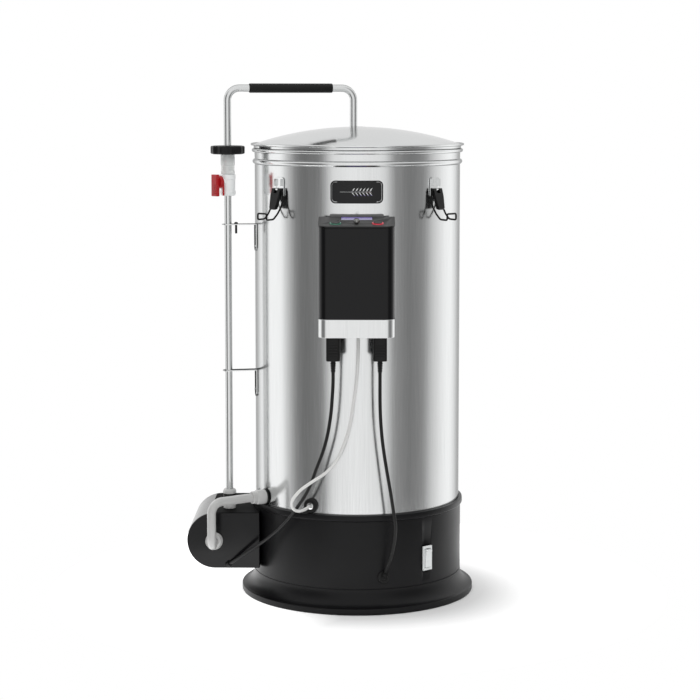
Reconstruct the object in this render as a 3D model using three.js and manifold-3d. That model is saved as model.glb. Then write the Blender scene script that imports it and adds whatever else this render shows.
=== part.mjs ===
// An electric all-in-one brewer: a steel boiler on a black heater base, with a
// pump at its left, a recirculation arm over the lid and a control box in front.
// Millimetres, +Z up. The origin is the centre of the base on the floor, the
// front faces -Y, and angles round the boiler are counted from the front,
// positive towards +X.

import * as THREE from 'three';
import { mergeVertices } from 'three/addons/utils/BufferGeometryUtils.js';
import Module from 'manifold-3d';

const wasm = await Module();
wasm.setup();

// ---------------------------------------------------------------- dimensions

const GAP = 0.3;
const ROUND_SIDES = 40;
const BASKET_SIDES = 32;
const SMALL_SIDES = 16;

const BOILER_RADIUS = 155;
const BOILER_WALL = 1.5;
const BOILER_FLOOR_Z = 118;
const BOILER_RIM_Z = 673.3;
const BOILER_CLEAR = BOILER_RADIUS + 0.4;

const BASE_WALL_RADIUS = 157.7;
const BASE_TOP_Z = 143;
const BASE_COLLAR_RADIUS = 160.3;
const BASE_COLLAR_HEIGHT = 7.5;
const FLANGE_RADIUS = 176.5;
const FLANGE_LIP = 9;
const FLARE_TOP_Z = 33;
const BASE_WALL = 3.2;
const COVER_RADIUS = 149.7;
const COVER_THICKNESS = 2.6;

const LID_RADIUS = 161;
const LID_APEX_Z = 705.3;
const LID_RIM_Z = 681.5;
const LID_SHEET = 1.2;
const LID_HOLE_RADIUS = 12;

const PIPE_RADIUS = 5.2;
const PIPE_X = -193;
const PIPE_Y = -42;
const PIPE_DISTANCE = Math.hypot(PIPE_X, PIPE_Y);
const PIPE_ANGLE = Math.atan2(PIPE_X, -PIPE_Y);

const VALVE_BOTTOM_Z = 603.3;
const VALVE_TOP_Z = 635;
const VALVE_RADIUS = 11.6;
const BALL_Z = 624;
const BALL_RADIUS = 7.8;
const BALL_CAVITY_RADIUS = 8.7;
const STEM_RADIUS = 3;
const VALVE_ANGLE = THREE.MathUtils.degToRad(-45);
const HUB_RADIUS = 9.6;

const ADAPTER_RADIUS = 10.5;
const NUT_BOTTOM_Z = 665;
const NUT_TOP_Z = 678;
const NUT_RADIUS = 24.6;
const NUT_LOBES = 10;
const NUT_LOBE_HEIGHT = 0.9;

const ARM_RADIUS = 5.3;
const ARM_WALL = 1;
const ARM_TOP_Z = 763;
const ARM_BEND = 18;
const ARM_SPOUT_X = -5.8;
const ARM_SPOUT_Y = 0;
const ARM_SPOUT_Z = 668;
const ARM_FOOT_Z = 642;
const GRIP_RADIUS = 7;
const GRIP_FROM = 0.17;
const GRIP_TO = 0.83;

const BOX_BACK_Y = -157.3;
const BOX_FRONT_Y = -217.4;
const BOX_WIDTH = 107.6;
const BOX_WALL = 3;
const BOX_CORNER = 13.4;
const CAP_WIDTH = 109;
const CAP_FRONT_Y = -218;
const CAP_CORNER = 14;
const CAP_THICKNESS = 3;
const CAP_BACK_Z = 579.4;
const CAP_SLOPE = Math.atan2(10.4, 61);
const BAND_BOTTOM_Z = 410.8;
const BAND_TOP_Z = 437;
const BAND_WALL = 4;

const DISPLAY_WIDTH = 45;
const DISPLAY_DEPTH = 19;
const POCKET_DEPTH = 2;
const BUTTON_RADIUS = 8.3;
const BUTTON_SPREAD = 30;
const BUTTON_ROW_Y = -44;
const KNOB_RADIUS = 4.6;
const KNOB_ROW_Y = -47;

const PLUG_SPREAD = 33.5;
const PLUG_Y = -188;
const PLUG_WIDTH = 20;
const PLUG_DEPTH = 16;
const PLUG_BOTTOM_Z = 373;
const RELIEF_END_Z = 358.5;

const PUMP_AXIS_X = -214;
const PUMP_AXIS_Z = 87.5;
const HOUSING_CENTRE_X = -212.6;
const HOUSING_CENTRE_Z = 87.5;
const HOUSING_RADIUS = 42.3;
const HOUSING_WALL = 3;
const HOUSING_FRONT_Y = -76;
const HOUSING_BACK_Y = 71;
const HOUSING_RIGHT_X = -145.8;

const OUTLET_ANGLE = THREE.MathUtils.degToRad(-61.3);
const OUTLET_Z = 154.5;
const INLET_PIPE_RADIUS = 6.5;
const INLET_KNEE_DISTANCE = 190;
const INLET_LEG_Y = -124;
const SEAL_BOTTOM_Z = 147;
const SEAL_TOP_Z = 153;

const UPPER_STRAP_Z = 561;
const LOWER_STRAP_Z = 341;
const CLIP_SCREW_DISTANCE = 185.4;

const SWITCH_ANGLE = THREE.MathUtils.degToRad(40.6);
const SWITCH_Z = 72.5;
const PROBE_ANGLE = THREE.MathUtils.degToRad(-25.4);
const PROBE_Z = 154.4;
const HEATER_GROMMET_ANGLE = THREE.MathUtils.degToRad(14.4);
const HEATER_GROMMET_Z = 51.3;

const LATCH_ANGLES = { front_left: -46.5, front_right: 46.5, rear_right: 133.5, rear_left: -133.5 };
const LATCH_PIVOT_DISTANCE = 160;
const LATCH_PIVOT_Z = 615.5;
const LATCH_HALF_WIDTH = 10;
const BAIL_WIRE = 1.2;
const BAIL_DROP = -2.5;

const BASKET_RADIUS = 140;
const BASKET_TOP_Z = 603;
const BASKET_BOTTOM_Z = 119.8;
const SCREEN_Z = 150.3;

// The three cords, from the plug or the box down to where each goes in.
const BLACK_CORD_RADIUS = 2.5;
const PUMP_CORD_ROUTE = [
  [-33.5, -188, 358.2],
  [-33.6, -188, 345],
  [-34.6, -188, 325],
  [-37.8, -187.4, 290],
  [-45.4, -184.5, 252],
  [-58, -178.5, 216],
  [-70, -170.5, 184],
  [-84.3, -159.5, 159.1],
  [-94.1, -149.5, 143.3],
  [-109.6, -136, 122.8],
  [-125.3, -123, 106.4],
  [-144.2, -109, 89.7],
  [-156.9, -101, 79.8],
  [-172.7, -92, 67.6],
  [-184, -84.6, 58.4],
  [-190.6, -79.5, 53.6]
];
const HEATER_CORD_ROUTE = [
  [33.5, -188, 358.2],
  [33.5, -188, 340],
  [33.7, -187.6, 310],
  [35.5, -186.6, 275],
  [38.8, -185, 245],
  [45.8, -182, 201],
  [53, -178, 156],
  [56.2, -175, 126],
  [53.9, -171, 103],
  [49.4, -166.8, 82],
  [44.6, -163.2, 68.5],
  [42.1, -159, 59.4]
];
const PROBE_CORD_RADIUS = 2.25;
const PROBE_CORD_ROUTE = [
  [2.4, -190, 410.5],
  [2.4, -190, 398],
  [2.1, -190, 382],
  [1.2, -190, 360],
  [-0.8, -189.8, 337.3],
  [-4.8, -189.3, 311.2],
  [-8.9, -188.5, 285.1],
  [-13.8, -187.8, 266.1],
  [-21.3, -186.9, 245.6],
  [-27.5, -186.1, 232.4],
  [-44.2, -184.6, 212.1],
  [-61.9, -183, 199.6],
  [-80.1, -180.6, 186],
  [-87.5, -178.6, 177.8],
  [-92.4, -175.5, 169.9],
  [-94, -171.5, 162.8],
  [-91.9, -167, 155.8],
  [-86.1, -162.6, 151.3],
  [-78.9, -158.4, 151.3],
  [-72.5, -152.6, 153.2],
  [-69.1, -145.3, 154.4]
];

// ------------------------------------------------------------------- solids

function turn(degrees) {
  return THREE.MathUtils.degToRad(degrees);
}

// Joins equal corners, drops flat triangles and makes the faces point out.
function solid(geometry) {
  const bare = geometry.index ? geometry.toNonIndexed() : geometry.clone();
  bare.deleteAttribute('normal');
  bare.deleteAttribute('uv');
  const welded = mergeVertices(bare, 1e-4);
  const corners = new Float32Array(welded.attributes.position.array);
  const corner = (index) => new THREE.Vector3().fromArray(corners, index * 3);
  const triangles = [];
  let volume = 0;
  for (let i = 0; i < welded.index.count; i += 3) {
    const [a, b, c] = [0, 1, 2].map((k) => welded.index.getX(i + k));
    if (a !== b && b !== c && c !== a) {
      triangles.push(a, b, c);
      volume += corner(a).dot(corner(b).cross(corner(c)));
    }
  }
  if (volume < 0) {
    triangles.reverse();
  }
  return new wasm.Manifold(new wasm.Mesh({
    numProp: 3,
    vertProperties: corners,
    triVerts: new Uint32Array(triangles)
  }));
}

function cut(body, ...tools) {
  return tools.reduce((left, tool) => left.subtract(tool), body);
}

function join(...bodies) {
  return bodies.reduce((whole, body) => whole.add(body));
}

function piece(name, body, material) {
  const { vertProperties, triVerts } = body.getMesh();
  const geometry = new THREE.BufferGeometry();
  geometry.setAttribute('position', new THREE.BufferAttribute(new Float32Array(vertProperties), 3));
  geometry.setIndex(new THREE.BufferAttribute(new Uint32Array(triVerts), 1));
  geometry.computeVertexNormals();
  const mesh = new THREE.Mesh(geometry, material);
  mesh.name = name;
  return mesh;
}

// A profile of [radius, height] turned round Z.
function revolve(profile, sides = ROUND_SIDES) {
  const points = profile.map(([radius, height]) => new THREE.Vector2(radius, height));
  return new THREE.LatheGeometry(points, sides).rotateX(Math.PI / 2);
}

// The same profile turned round a level axis that points out of the boiler.
function revolveOutwards(profile, angle, height, sides = SMALL_SIDES) {
  return revolve(profile, sides).rotateX(Math.PI / 2).rotateZ(angle).translate(0, 0, height);
}

function rod(radius, low, high, sides = SMALL_SIDES) {
  const cylinder = new THREE.CylinderGeometry(radius, radius, high - low, sides);
  return cylinder.rotateX(Math.PI / 2).translate(0, 0, (low + high) / 2);
}

// A rod from one point to another, given by its start, direction and length.
function slantedRod(radius, start, direction, length, sides = SMALL_SIDES) {
  const tilt = new THREE.Quaternion().setFromUnitVectors(new THREE.Vector3(0, 0, 1), direction);
  return rod(radius, 0, length, sides).applyQuaternion(tilt).translate(...start.toArray());
}

function block([xLow, xHigh], [yLow, yHigh], [zLow, zHigh]) {
  const box = new THREE.BoxGeometry(xHigh - xLow, yHigh - yLow, zHigh - zLow);
  return box.translate((xLow + xHigh) / 2, (yLow + yHigh) / 2, (zLow + zHigh) / 2);
}

function extrude(shape, low, high, curveSegments = 4) {
  const settings = { depth: high - low, bevelEnabled: false, curveSegments };
  return new THREE.ExtrudeGeometry(shape, settings).translate(0, 0, low);
}

function roundedRectangle(xLow, xHigh, yLow, yHigh, lowRadius, highRadius = lowRadius) {
  const shape = new THREE.Shape();
  shape.moveTo(xLow + lowRadius, yLow);
  shape.lineTo(xHigh - lowRadius, yLow);
  shape.absarc(xHigh - lowRadius, yLow + lowRadius, lowRadius, -Math.PI / 2, 0);
  shape.lineTo(xHigh, yHigh - highRadius);
  shape.absarc(xHigh - highRadius, yHigh - highRadius, highRadius, 0, Math.PI / 2);
  shape.lineTo(xLow + highRadius, yHigh);
  shape.absarc(xLow + highRadius, yHigh - highRadius, highRadius, Math.PI / 2, Math.PI);
  shape.lineTo(xLow, yLow + lowRadius);
  shape.absarc(xLow + lowRadius, yLow + lowRadius, lowRadius, Math.PI, Math.PI * 1.5);
  return shape;
}

function ringSection(outer, inner) {
  const section = new THREE.Shape().absarc(0, 0, outer, 0, Math.PI * 2);
  if (inner > 0) {
    section.holes.push(new THREE.Path().absarc(0, 0, inner, 0, Math.PI * 2, true));
  }
  return section;
}

// A path that goes straight from each listed point to the next.
class SteppedPath extends THREE.Curve {
  constructor(points) {
    super();
    this.points = points;
  }

  getPoint(t) {
    const place = t * (this.points.length - 1);
    const index = Math.min(Math.floor(place), this.points.length - 2);
    return this.points[index].clone().lerp(this.points[index + 1], place - index);
  }

  getPointAt(t) {
    return this.getPoint(t);
  }

  getTangentAt(t) {
    const index = Math.round(t * (this.points.length - 1));
    const before = this.points[Math.max(index - 1, 0)];
    const here = this.points[index];
    const after = this.points[Math.min(index + 1, this.points.length - 1)];
    const arriving = here.clone().sub(before).normalize();
    const leaving = after.clone().sub(here).normalize();
    return arriving.add(leaving).normalize();
  }
}

// Corner points with each inner corner replaced by an arc of the bend radius.
function bentPath(corners, bend, stepsPerBend) {
  const points = [corners[0]];
  for (let i = 1; i < corners.length - 1; i += 1) {
    const back = corners[i - 1].clone().sub(corners[i]).normalize();
    const ahead = corners[i + 1].clone().sub(corners[i]).normalize();
    const half = back.angleTo(ahead) / 2;
    const inward = back.clone().add(ahead).normalize();
    const centre = corners[i].clone().addScaledVector(inward, bend / Math.sin(half));
    const start = corners[i].clone().addScaledVector(back, bend / Math.tan(half)).sub(centre);
    const axis = start.clone().cross(inward.clone().negate()).normalize();
    for (let k = 0; k <= stepsPerBend; k += 1) {
      const angle = (Math.PI - 2 * half) * k / stepsPerBend;
      points.push(start.clone().applyAxisAngle(axis, angle).add(centre));
    }
  }
  points.push(corners[corners.length - 1]);
  return new SteppedPath(points);
}

function tubeAlong(path, steps, outer, inner, curveSegments) {
  return new THREE.ExtrudeGeometry(ringSection(outer, inner), { steps, curveSegments, extrudePath: path });
}

function bentTube(corners, bend, stepsPerBend, outer, inner, sides) {
  const path = bentPath(corners, bend, stepsPerBend);
  return tubeAlong(path, path.points.length - 1, outer, inner, sides);
}

function point(x, y, z) {
  return new THREE.Vector3(x, y, z);
}

// A point at a distance from the boiler's axis, at an angle from the front.
function around(distance, angle, height) {
  return point(distance * Math.sin(angle), -distance * Math.cos(angle), height);
}

// ---------------------------------------------------------------- materials

function finish(color, roughness, metalness) {
  return new THREE.MeshStandardMaterial({ color, roughness, metalness });
}

function polishedSteel() {
  return finish(0xd4d6d6, 0.16, 1);
}

function brushedSteel() {
  return finish(0xbfc1c1, 0.3, 1);
}

function satinBlack() {
  return finish(0x262626, 0.42, 0);
}

function glossBlack() {
  return finish(0x1f1f1f, 0.18, 0);
}

function blackWire() {
  return finish(0x181818, 0.4, 0.3);
}

function paleAluminium() {
  return finish(0xdfe1e0, 0.3, 0.8);
}

function greyPipe() {
  return finish(0xb9b9b7, 0.45, 0.6);
}

function whitePlastic() {
  return finish(0xe6e9e9, 0.4, 0);
}

function redPlastic() {
  return finish(0xb02029, 0.35, 0);
}

function cordRubber() {
  return finish(0x1d1d1d, 0.5, 0);
}

// ------------------------------------------------------------------- boiler

function boilerShell() {
  const inner = BOILER_RADIUS - BOILER_WALL;
  const profile = [
    [0, BOILER_FLOOR_Z],
    [148, BOILER_FLOOR_Z],
    [BOILER_RADIUS, 125],
    [BOILER_RADIUS, 649.5],
    [158.3, 652],
    [158.3, 655.5],
    [BOILER_RADIUS, 658],
    [BOILER_RADIUS, 667.5],
    [159.4, 669.2],
    [159.4, 672.2],
    [158.4, BOILER_RIM_Z],
    [inner, BOILER_RIM_Z],
    [inner, 126.5],
    [147, BOILER_FLOOR_Z + BOILER_WALL],
    [0, BOILER_FLOOR_Z + BOILER_WALL]
  ];
  const hole = (radius, angle, height) => solid(
    revolveOutwards([[0, 140], [radius, 140], [radius, 165], [0, 165]], angle, height)
  );
  const body = cut(
    solid(revolve(profile)),
    hole(7.4, OUTLET_ANGLE, OUTLET_Z),
    hole(4.4, PROBE_ANGLE, PROBE_Z)
  );
  return piece('boiler_shell', body, polishedSteel());
}

function badgePlate() {
  const low = BOILER_CLEAR;
  const high = low + 1;
  const band = solid(revolve([[low, 590], [high, 590], [high, 640], [low, 640], [low, 590]]));
  const outline = extrude(roundedRectangle(-38, 38, 597.6, 630.5, 7), 0, 200).rotateX(Math.PI / 2);
  return piece('badge_plate', solid(outline).intersect(band), finish(0x2b2b2b, 0.35, 0.4));
}

// -------------------------------------------------------------- heater base

// The flared foot ring that the whole brewer stands on.
function baseRing() {
  const inner = BASE_WALL_RADIUS - BASE_WALL;
  const flare = [];
  const flareSteps = 5;
  for (let i = 0; i <= flareSteps; i += 1) {
    const angle = Math.PI / 2 * i / flareSteps;
    flare.push([
      FLANGE_RADIUS - (FLANGE_RADIUS - BASE_WALL_RADIUS) * Math.sin(angle),
      FLARE_TOP_Z - (FLARE_TOP_Z - FLANGE_LIP) * Math.cos(angle)
    ]);
  }
  const profile = [
    [COVER_RADIUS + GAP, 0],
    [FLANGE_RADIUS, 0],
    ...flare,
    [inner, FLARE_TOP_Z],
    [inner, 27],
    [155.5, 20],
    [158.5, 12.5],
    [164, 6.5],
    [164, COVER_THICKNESS + 0.6],
    [COVER_RADIUS + GAP, COVER_THICKNESS + 0.6],
    [COVER_RADIUS + GAP, 0]
  ];
  return piece('base_ring', solid(revolve(profile)), satinBlack());
}

// The wall of the base, with a spigot down into the foot ring.
function baseHousing() {
  const inner = BASE_WALL_RADIUS - BASE_WALL;
  const profile = [
    [inner - BASE_WALL, FLARE_TOP_Z - 6],
    [inner - GAP, FLARE_TOP_Z - 6],
    [inner - GAP, FLARE_TOP_Z + GAP],
    [BASE_WALL_RADIUS, FLARE_TOP_Z + GAP],
    [BASE_WALL_RADIUS, BASE_TOP_Z - BASE_COLLAR_HEIGHT - 1.5],
    [BASE_COLLAR_RADIUS, BASE_TOP_Z - BASE_COLLAR_HEIGHT],
    [BASE_COLLAR_RADIUS, BASE_TOP_Z],
    [BOILER_CLEAR, BASE_TOP_Z],
    [BOILER_CLEAR, BOILER_FLOOR_Z - GAP],
    [145, BOILER_FLOOR_Z - GAP],
    [145, 114.5],
    [inner, 108],
    [inner, FLARE_TOP_Z + BASE_WALL],
    [inner - BASE_WALL, FLARE_TOP_Z],
    [inner - BASE_WALL, FLARE_TOP_Z - 6]
  ];
  const grommetHole = solid(revolveOutwards(
    [[0, 145], [6.4, 145], [6.4, 170], [0, 170]], HEATER_GROMMET_ANGLE, HEATER_GROMMET_Z
  ));
  const switchHole = solid(block([-7.4, 7.4], [-170, -145], [-16.4, 16.4]));
  const body = cut(
    solid(revolve(profile)),
    grommetHole,
    switchHole.rotate([0, 0, THREE.MathUtils.radToDeg(SWITCH_ANGLE)]).translate([0, 0, SWITCH_Z])
  );
  return piece('base_housing', body, satinBlack());
}

function baseCover() {
  const vents = [];
  const ventCount = 6;
  for (let i = 0; i < ventCount; i += 1) {
    const slot = extrude(roundedRectangle(-18, 18, -112, -107, 2.4), -1, 4, 1);
    vents.push(solid(slot.rotateZ(Math.PI * 2 * (i + 0.5) / ventCount)));
  }
  const disc = solid(rod(COVER_RADIUS, 0, COVER_THICKNESS, ROUND_SIDES));
  return piece('base_cover', cut(disc, ...vents), satinBlack());
}

// The spreader plate with its sheathed element brazed under it as a ring.
function heaterPlate() {
  const top = BOILER_FLOOR_Z - GAP;
  const profile = [
    [0, 113], [92, 113], [95, 106], [103, 106], [106, 113], [125, 113], [125, top], [0, top]
  ];
  return piece('heater_plate', solid(revolve(profile, 24)), finish(0xa9abac, 0.5, 0.9));
}

function heaterCordGrommet() {
  const lead = point(0.24, -0.42, 0.875).normalize();
  const bossLength = 9.5;
  const wall = BASE_WALL_RADIUS;
  const profile = [
    [0, 149], [6, 149], [6, wall + 0.4], [9, wall + 0.4], [9, wall + 1.8], [8.2, wall + 2.6], [0, wall + 2.6]
  ];
  const flange = solid(revolveOutwards(profile, HEATER_GROMMET_ANGLE, HEATER_GROMMET_Z));
  const end = point(...HEATER_CORD_ROUTE.at(-1)).addScaledVector(lead, -GAP);
  const start = end.clone().addScaledVector(lead, -bossLength);
  const boss = solid(slantedRod(4, start, lead, bossLength));
  const wallBody = solid(revolve([[0, 30], [wall + 0.4, 30], [wall + 0.4, 100], [0, 100]]));
  return piece('heater_cord_grommet', join(flange, cut(boss, wallBody)), satinBlack());
}

// Local frame of the switch: X along the wall, -Y out of it, Z up.
function heatSwitch() {
  const group = new THREE.Group();
  group.rotation.z = SWITCH_ANGLE;
  group.position.z = SWITCH_Z;
  const face = -BASE_WALL_RADIUS;
  const frameOuter = solid(block([-8.6, 8.6], [face - 3.4, face - 0.5], [-18.2, 18.2]));
  const frameNeck = solid(block([-7, 7], [face - 1, face + 9], [-16, 16]));
  const opening = solid(block([-5.9, 5.9], [face - 5, face + 6], [-14.4, 14.4]));
  const bezel = piece('switch_bezel', cut(join(frameOuter, frameNeck), opening), whitePlastic());
  const rest = turn(6);
  const outline = new THREE.Shape();
  outline.moveTo(-13.4, 0);
  outline.lineTo(-6, -4);
  outline.lineTo(6, -4);
  outline.lineTo(13.4, 0);
  outline.lineTo(13.4, 5.6);
  outline.lineTo(0, 4.4);
  outline.lineTo(-13.4, 5.6);
  const rocker = extrude(outline, -5.5, 5.5).rotateX(Math.PI).rotateY(-Math.PI / 2);
  const tilted = rocker.rotateX(rest).translate(0, face - 0.6, 0);
  group.add(bezel, piece('switch_rocker', solid(tilted), whitePlastic()));
  return group;
}

// --------------------------------------------------------------------- pump

function pumpOutline(radius, right) {
  const shape = new THREE.Shape();
  shape.moveTo(right, HOUSING_CENTRE_Z - radius);
  shape.lineTo(right, HOUSING_CENTRE_Z + radius);
  shape.lineTo(HOUSING_CENTRE_X, HOUSING_CENTRE_Z + radius);
  shape.absarc(HOUSING_CENTRE_X, HOUSING_CENTRE_Z, radius, Math.PI / 2, Math.PI * 1.5);
  return shape;
}

// An outline in the XZ plane carried along Y.
function extrudeAlongY(shape, low, high, curveSegments) {
  return extrude(shape, -high, -low, curveSegments).rotateX(Math.PI / 2);
}

function pumpHousing() {
  const outline = pumpOutline(HOUSING_RADIUS, HOUSING_RIGHT_X);
  const outer = solid(extrudeAlongY(outline, HOUSING_FRONT_Y, HOUSING_BACK_Y, 8));
  const inner = solid(extrudeAlongY(
    pumpOutline(HOUSING_RADIUS - HOUSING_WALL, HOUSING_RIGHT_X - HOUSING_WALL),
    HOUSING_FRONT_Y + HOUSING_WALL,
    HOUSING_BACK_Y - HOUSING_WALL,
    8
  ));
  const base = solid(rod(BASE_WALL_RADIUS + 0.5, 0, 200, ROUND_SIDES));
  const inletHole = solid(rod(8.4, 70, 80).rotateX(Math.PI / 2).translate(PUMP_AXIS_X, 0, PUMP_AXIS_Z));
  const outletHole = solid(rod(8.4, 120, 135).translate(PIPE_X, PIPE_Y, 0));
  return piece('pump_housing', cut(outer, inner, base, inletHole, outletHole), glossBlack());
}

// Turned round the pump's level axis; heights in the profile run to the front.
function pumpTurned(profile, sides = SMALL_SIDES) {
  return revolve(profile, sides).rotateX(Math.PI / 2).translate(PUMP_AXIS_X, 0, PUMP_AXIS_Z);
}

function pumpHead() {
  const shell = solid(pumpTurned([
    [6, 56], [6, 68], [8, 68], [8, 60], [29, 58], [29, 29], [23.5, 29], [23.5, 53], [6, 56]
  ]));
  const port = solid(rod(7.4, PUMP_AXIS_Z, 125).translate(PIPE_X, PIPE_Y, 0));
  const chamber = solid(pumpTurned([[0, 20], [23.5, 20], [23.5, 53], [0, 56]]));
  const bore = solid(rod(4.6, PUMP_AXIS_Z, 130).translate(PIPE_X, PIPE_Y, 0));
  return piece('pump_head', cut(join(shell, cut(port, chamber)), bore), finish(0x3a3a3a, 0.5, 0));
}

function pumpImpeller() {
  const profile = [
    [0, -4], [13, -4], [13, 30], [21.5, 32], [21.5, 35], [6, 36], [5, 50], [0, 52]
  ];
  const vanes = [];
  const vaneCount = 6;
  for (let i = 0; i < vaneCount; i += 1) {
    const vane = block([4, 20], [-1, 1], [34, 46]).rotateZ(Math.PI * 2 * i / vaneCount);
    vanes.push(solid(vane.rotateX(Math.PI / 2).translate(PUMP_AXIS_X, 0, PUMP_AXIS_Z)));
  }
  return piece('pump_impeller', join(solid(pumpTurned(profile)), ...vanes), finish(0x8f9396, 0.5, 0));
}

function pumpMotor() {
  const profile = [
    [0, -50], [28, -50], [31, -46], [31, 26], [28, 28.5], [14.2, 28.5], [14.2, -6], [0, -6]
  ];
  return piece('pump_motor', solid(pumpTurned(profile)), finish(0x4a4d50, 0.5, 0.6));
}

function pumpCordGland() {
  const end = point(...PUMP_CORD_ROUTE.at(-1));
  const lead = end.clone().sub(point(...PUMP_CORD_ROUTE.at(-2))).normalize();
  const start = end.addScaledVector(lead, GAP);
  const boss = solid(slantedRod(4.2, start, lead, 12));
  const inFront = solid(block([-220, -120], [-120, HOUSING_FRONT_Y - GAP], [20, 100]));
  return piece('pump_cord_gland', boss.intersect(inFront), satinBlack());
}

// -------------------------------------------------------------------- pipes

function inletCoupling() {
  const profile = [
    [4.5, 146], [7, 146], [7, BOILER_CLEAR], [10.8, BOILER_CLEAR + 1], [10.8, 171.5], [9.4, 173],
    [9.4, 179], [INLET_PIPE_RADIUS + GAP, 179], [INLET_PIPE_RADIUS + GAP, 164], [4.5, 162], [4.5, 146]
  ];
  return piece('inlet_coupling', solid(revolveOutwards(profile, OUTLET_ANGLE, OUTLET_Z)), greyPipe());
}

function inletPipe() {
  const route = [
    around(164.6, OUTLET_ANGLE, OUTLET_Z),
    around(INLET_KNEE_DISTANCE, OUTLET_ANGLE, OUTLET_Z),
    point(PUMP_AXIS_X, INLET_LEG_Y, OUTLET_Z),
    point(PUMP_AXIS_X, INLET_LEG_Y, PUMP_AXIS_Z),
    point(PUMP_AXIS_X, HOUSING_FRONT_Y - 3, PUMP_AXIS_Z)
  ];
  return piece('inlet_pipe', solid(bentTube(route, 17, 3, INLET_PIPE_RADIUS, 0, 8)), greyPipe());
}

// Local heights are distances in front of the boiler's axis.
function inletFitting() {
  const front = -HOUSING_FRONT_Y;
  const bore = INLET_PIPE_RADIUS + GAP;
  const profile = [
    [4.5, front - 7], [8, front - 7], [8, front + GAP], [13, front + GAP], [13, front + 6],
    [11, front + 10], [bore, front + 10], [bore, front + 2.5], [4.5, front + 2], [4.5, front - 7]
  ];
  return piece('inlet_fitting', solid(pumpTurned(profile)), greyPipe());
}

function outletFitting() {
  const top = HOUSING_CENTRE_Z + HOUSING_RADIUS;
  const bore = PIPE_RADIUS + GAP;
  const end = SEAL_TOP_Z + 6.7;
  const profile = [
    [4.2, top - 3.6], [8, top - 3.6], [8, top + GAP], [9.4, top + GAP], [9.4, top + 6], [7.6, top + 8],
    [7.6, SEAL_BOTTOM_Z], [9.6, SEAL_BOTTOM_Z], [9.6, SEAL_TOP_Z], [10.1, SEAL_TOP_Z], [10.1, end - 3],
    [8, end], [bore, end], [bore, 141], [4.2, 140], [4.2, top - 3.6]
  ];
  const body = solid(revolve(profile, SMALL_SIDES).translate(PIPE_X, PIPE_Y, 0));
  return piece('outlet_fitting', body, greyPipe());
}

function dischargePipe() {
  const profile = [[4.2, 141.4], [PIPE_RADIUS, 141.4], [PIPE_RADIUS, 611.8], [4.2, 611.8], [4.2, 141.4]];
  return piece('discharge_pipe', solid(revolve(profile, 12).translate(PIPE_X, PIPE_Y, 0)), brushedSteel());
}

// A tab on the boiler with a level strap out to the pipe, bored for the pipe.
function pipeBracket(name, strapZ, screwHole) {
  const tabOutline = new THREE.Shape();
  tabOutline.moveTo(-8, strapZ);
  tabOutline.lineTo(-8, strapZ - 33);
  tabOutline.absarc(0, strapZ - 33, 8, Math.PI, Math.PI * 2);
  tabOutline.lineTo(8, strapZ);
  const tab = solid(extrudeAlongY(tabOutline, -BOILER_CLEAR - 1.6, -BOILER_CLEAR, 4));
  const strap = solid(extrude(
    roundedRectangle(-7, 7, -PIPE_DISTANCE - 9, -BOILER_CLEAR - 0.8, 6.8, 0.5),
    strapZ - 1.5,
    strapZ
  ));
  const toDegrees = THREE.MathUtils.radToDeg(PIPE_ANGLE);
  const pipeHole = solid(rod(PIPE_RADIUS + 0.4, strapZ - 4, strapZ + 4).translate(0, -PIPE_DISTANCE, 0));
  let body = cut(join(tab, strap), pipeHole);
  if (screwHole) {
    body = cut(body, solid(rod(2, strapZ - 4, strapZ + 4, 10).translate(0, -CLIP_SCREW_DISTANCE, 0)));
  }
  return piece(name, body.rotate([0, 0, toDegrees]), brushedSteel());
}

function clipScrew() {
  const profile = [
    [0, UPPER_STRAP_Z - 14.5], [1.7, UPPER_STRAP_Z - 14.5], [1.7, UPPER_STRAP_Z + GAP],
    [3.1, UPPER_STRAP_Z + GAP], [2.4, UPPER_STRAP_Z + 2], [0, UPPER_STRAP_Z + 2.8]
  ];
  const turned = revolve(profile, 10).translate(0, -CLIP_SCREW_DISTANCE, 0).rotateZ(PIPE_ANGLE);
  return piece('clip_screw', solid(turned), satinBlack());
}

// -------------------------------------------------------------------- valve

// Local frame of the valve: the pipe's axis is Z, the stem points along -Y.
function valve() {
  const group = new THREE.Group();
  group.position.set(PIPE_X, PIPE_Y, 0);
  group.rotation.z = VALVE_ANGLE;
  group.add(valveBody(), valveBall(), valveLever());
  return group;
}

function levelTurned(profile, sides) {
  return solid(revolve(profile, sides).rotateX(Math.PI / 2).translate(0, 0, BALL_Z));
}

function ballShape(radius) {
  return solid(new THREE.SphereGeometry(radius, 12, 8).rotateX(Math.PI / 2).translate(0, 0, BALL_Z));
}

function valveBody() {
  const shell = solid(revolve([
    [0, VALVE_BOTTOM_Z], [VALVE_RADIUS - 2, VALVE_BOTTOM_Z], [VALVE_RADIUS, VALVE_BOTTOM_Z + 3],
    [VALVE_RADIUS, VALVE_TOP_Z], [0, VALVE_TOP_Z]
  ], 20));
  const boss = levelTurned([[0, 0], [6, 0], [6, VALVE_RADIUS + 1], [0, VALVE_RADIUS + 1]], 12);
  const stemBore = levelTurned([[0, 0], [3.5, 0], [3.5, 20], [0, 20]], 12);
  const pipeBore = solid(rod(PIPE_RADIUS + 0.4, 600, VALVE_BOTTOM_Z + 9));
  const flowBore = solid(rod(4.2, 600, 640));
  const body = cut(join(shell, boss), stemBore, pipeBore, flowBore, ballShape(BALL_CAVITY_RADIUS));
  return piece('valve_body', body, whitePlastic());
}

function valveBall() {
  const stem = levelTurned([[0, 6], [STEM_RADIUS, 6], [STEM_RADIUS, 18], [0, 18]], 12);
  const flowBore = solid(rod(4, 600, 640, 12));
  return piece('valve_ball', join(cut(ballShape(BALL_RADIUS), flowBore), stem), brushedSteel());
}

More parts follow.
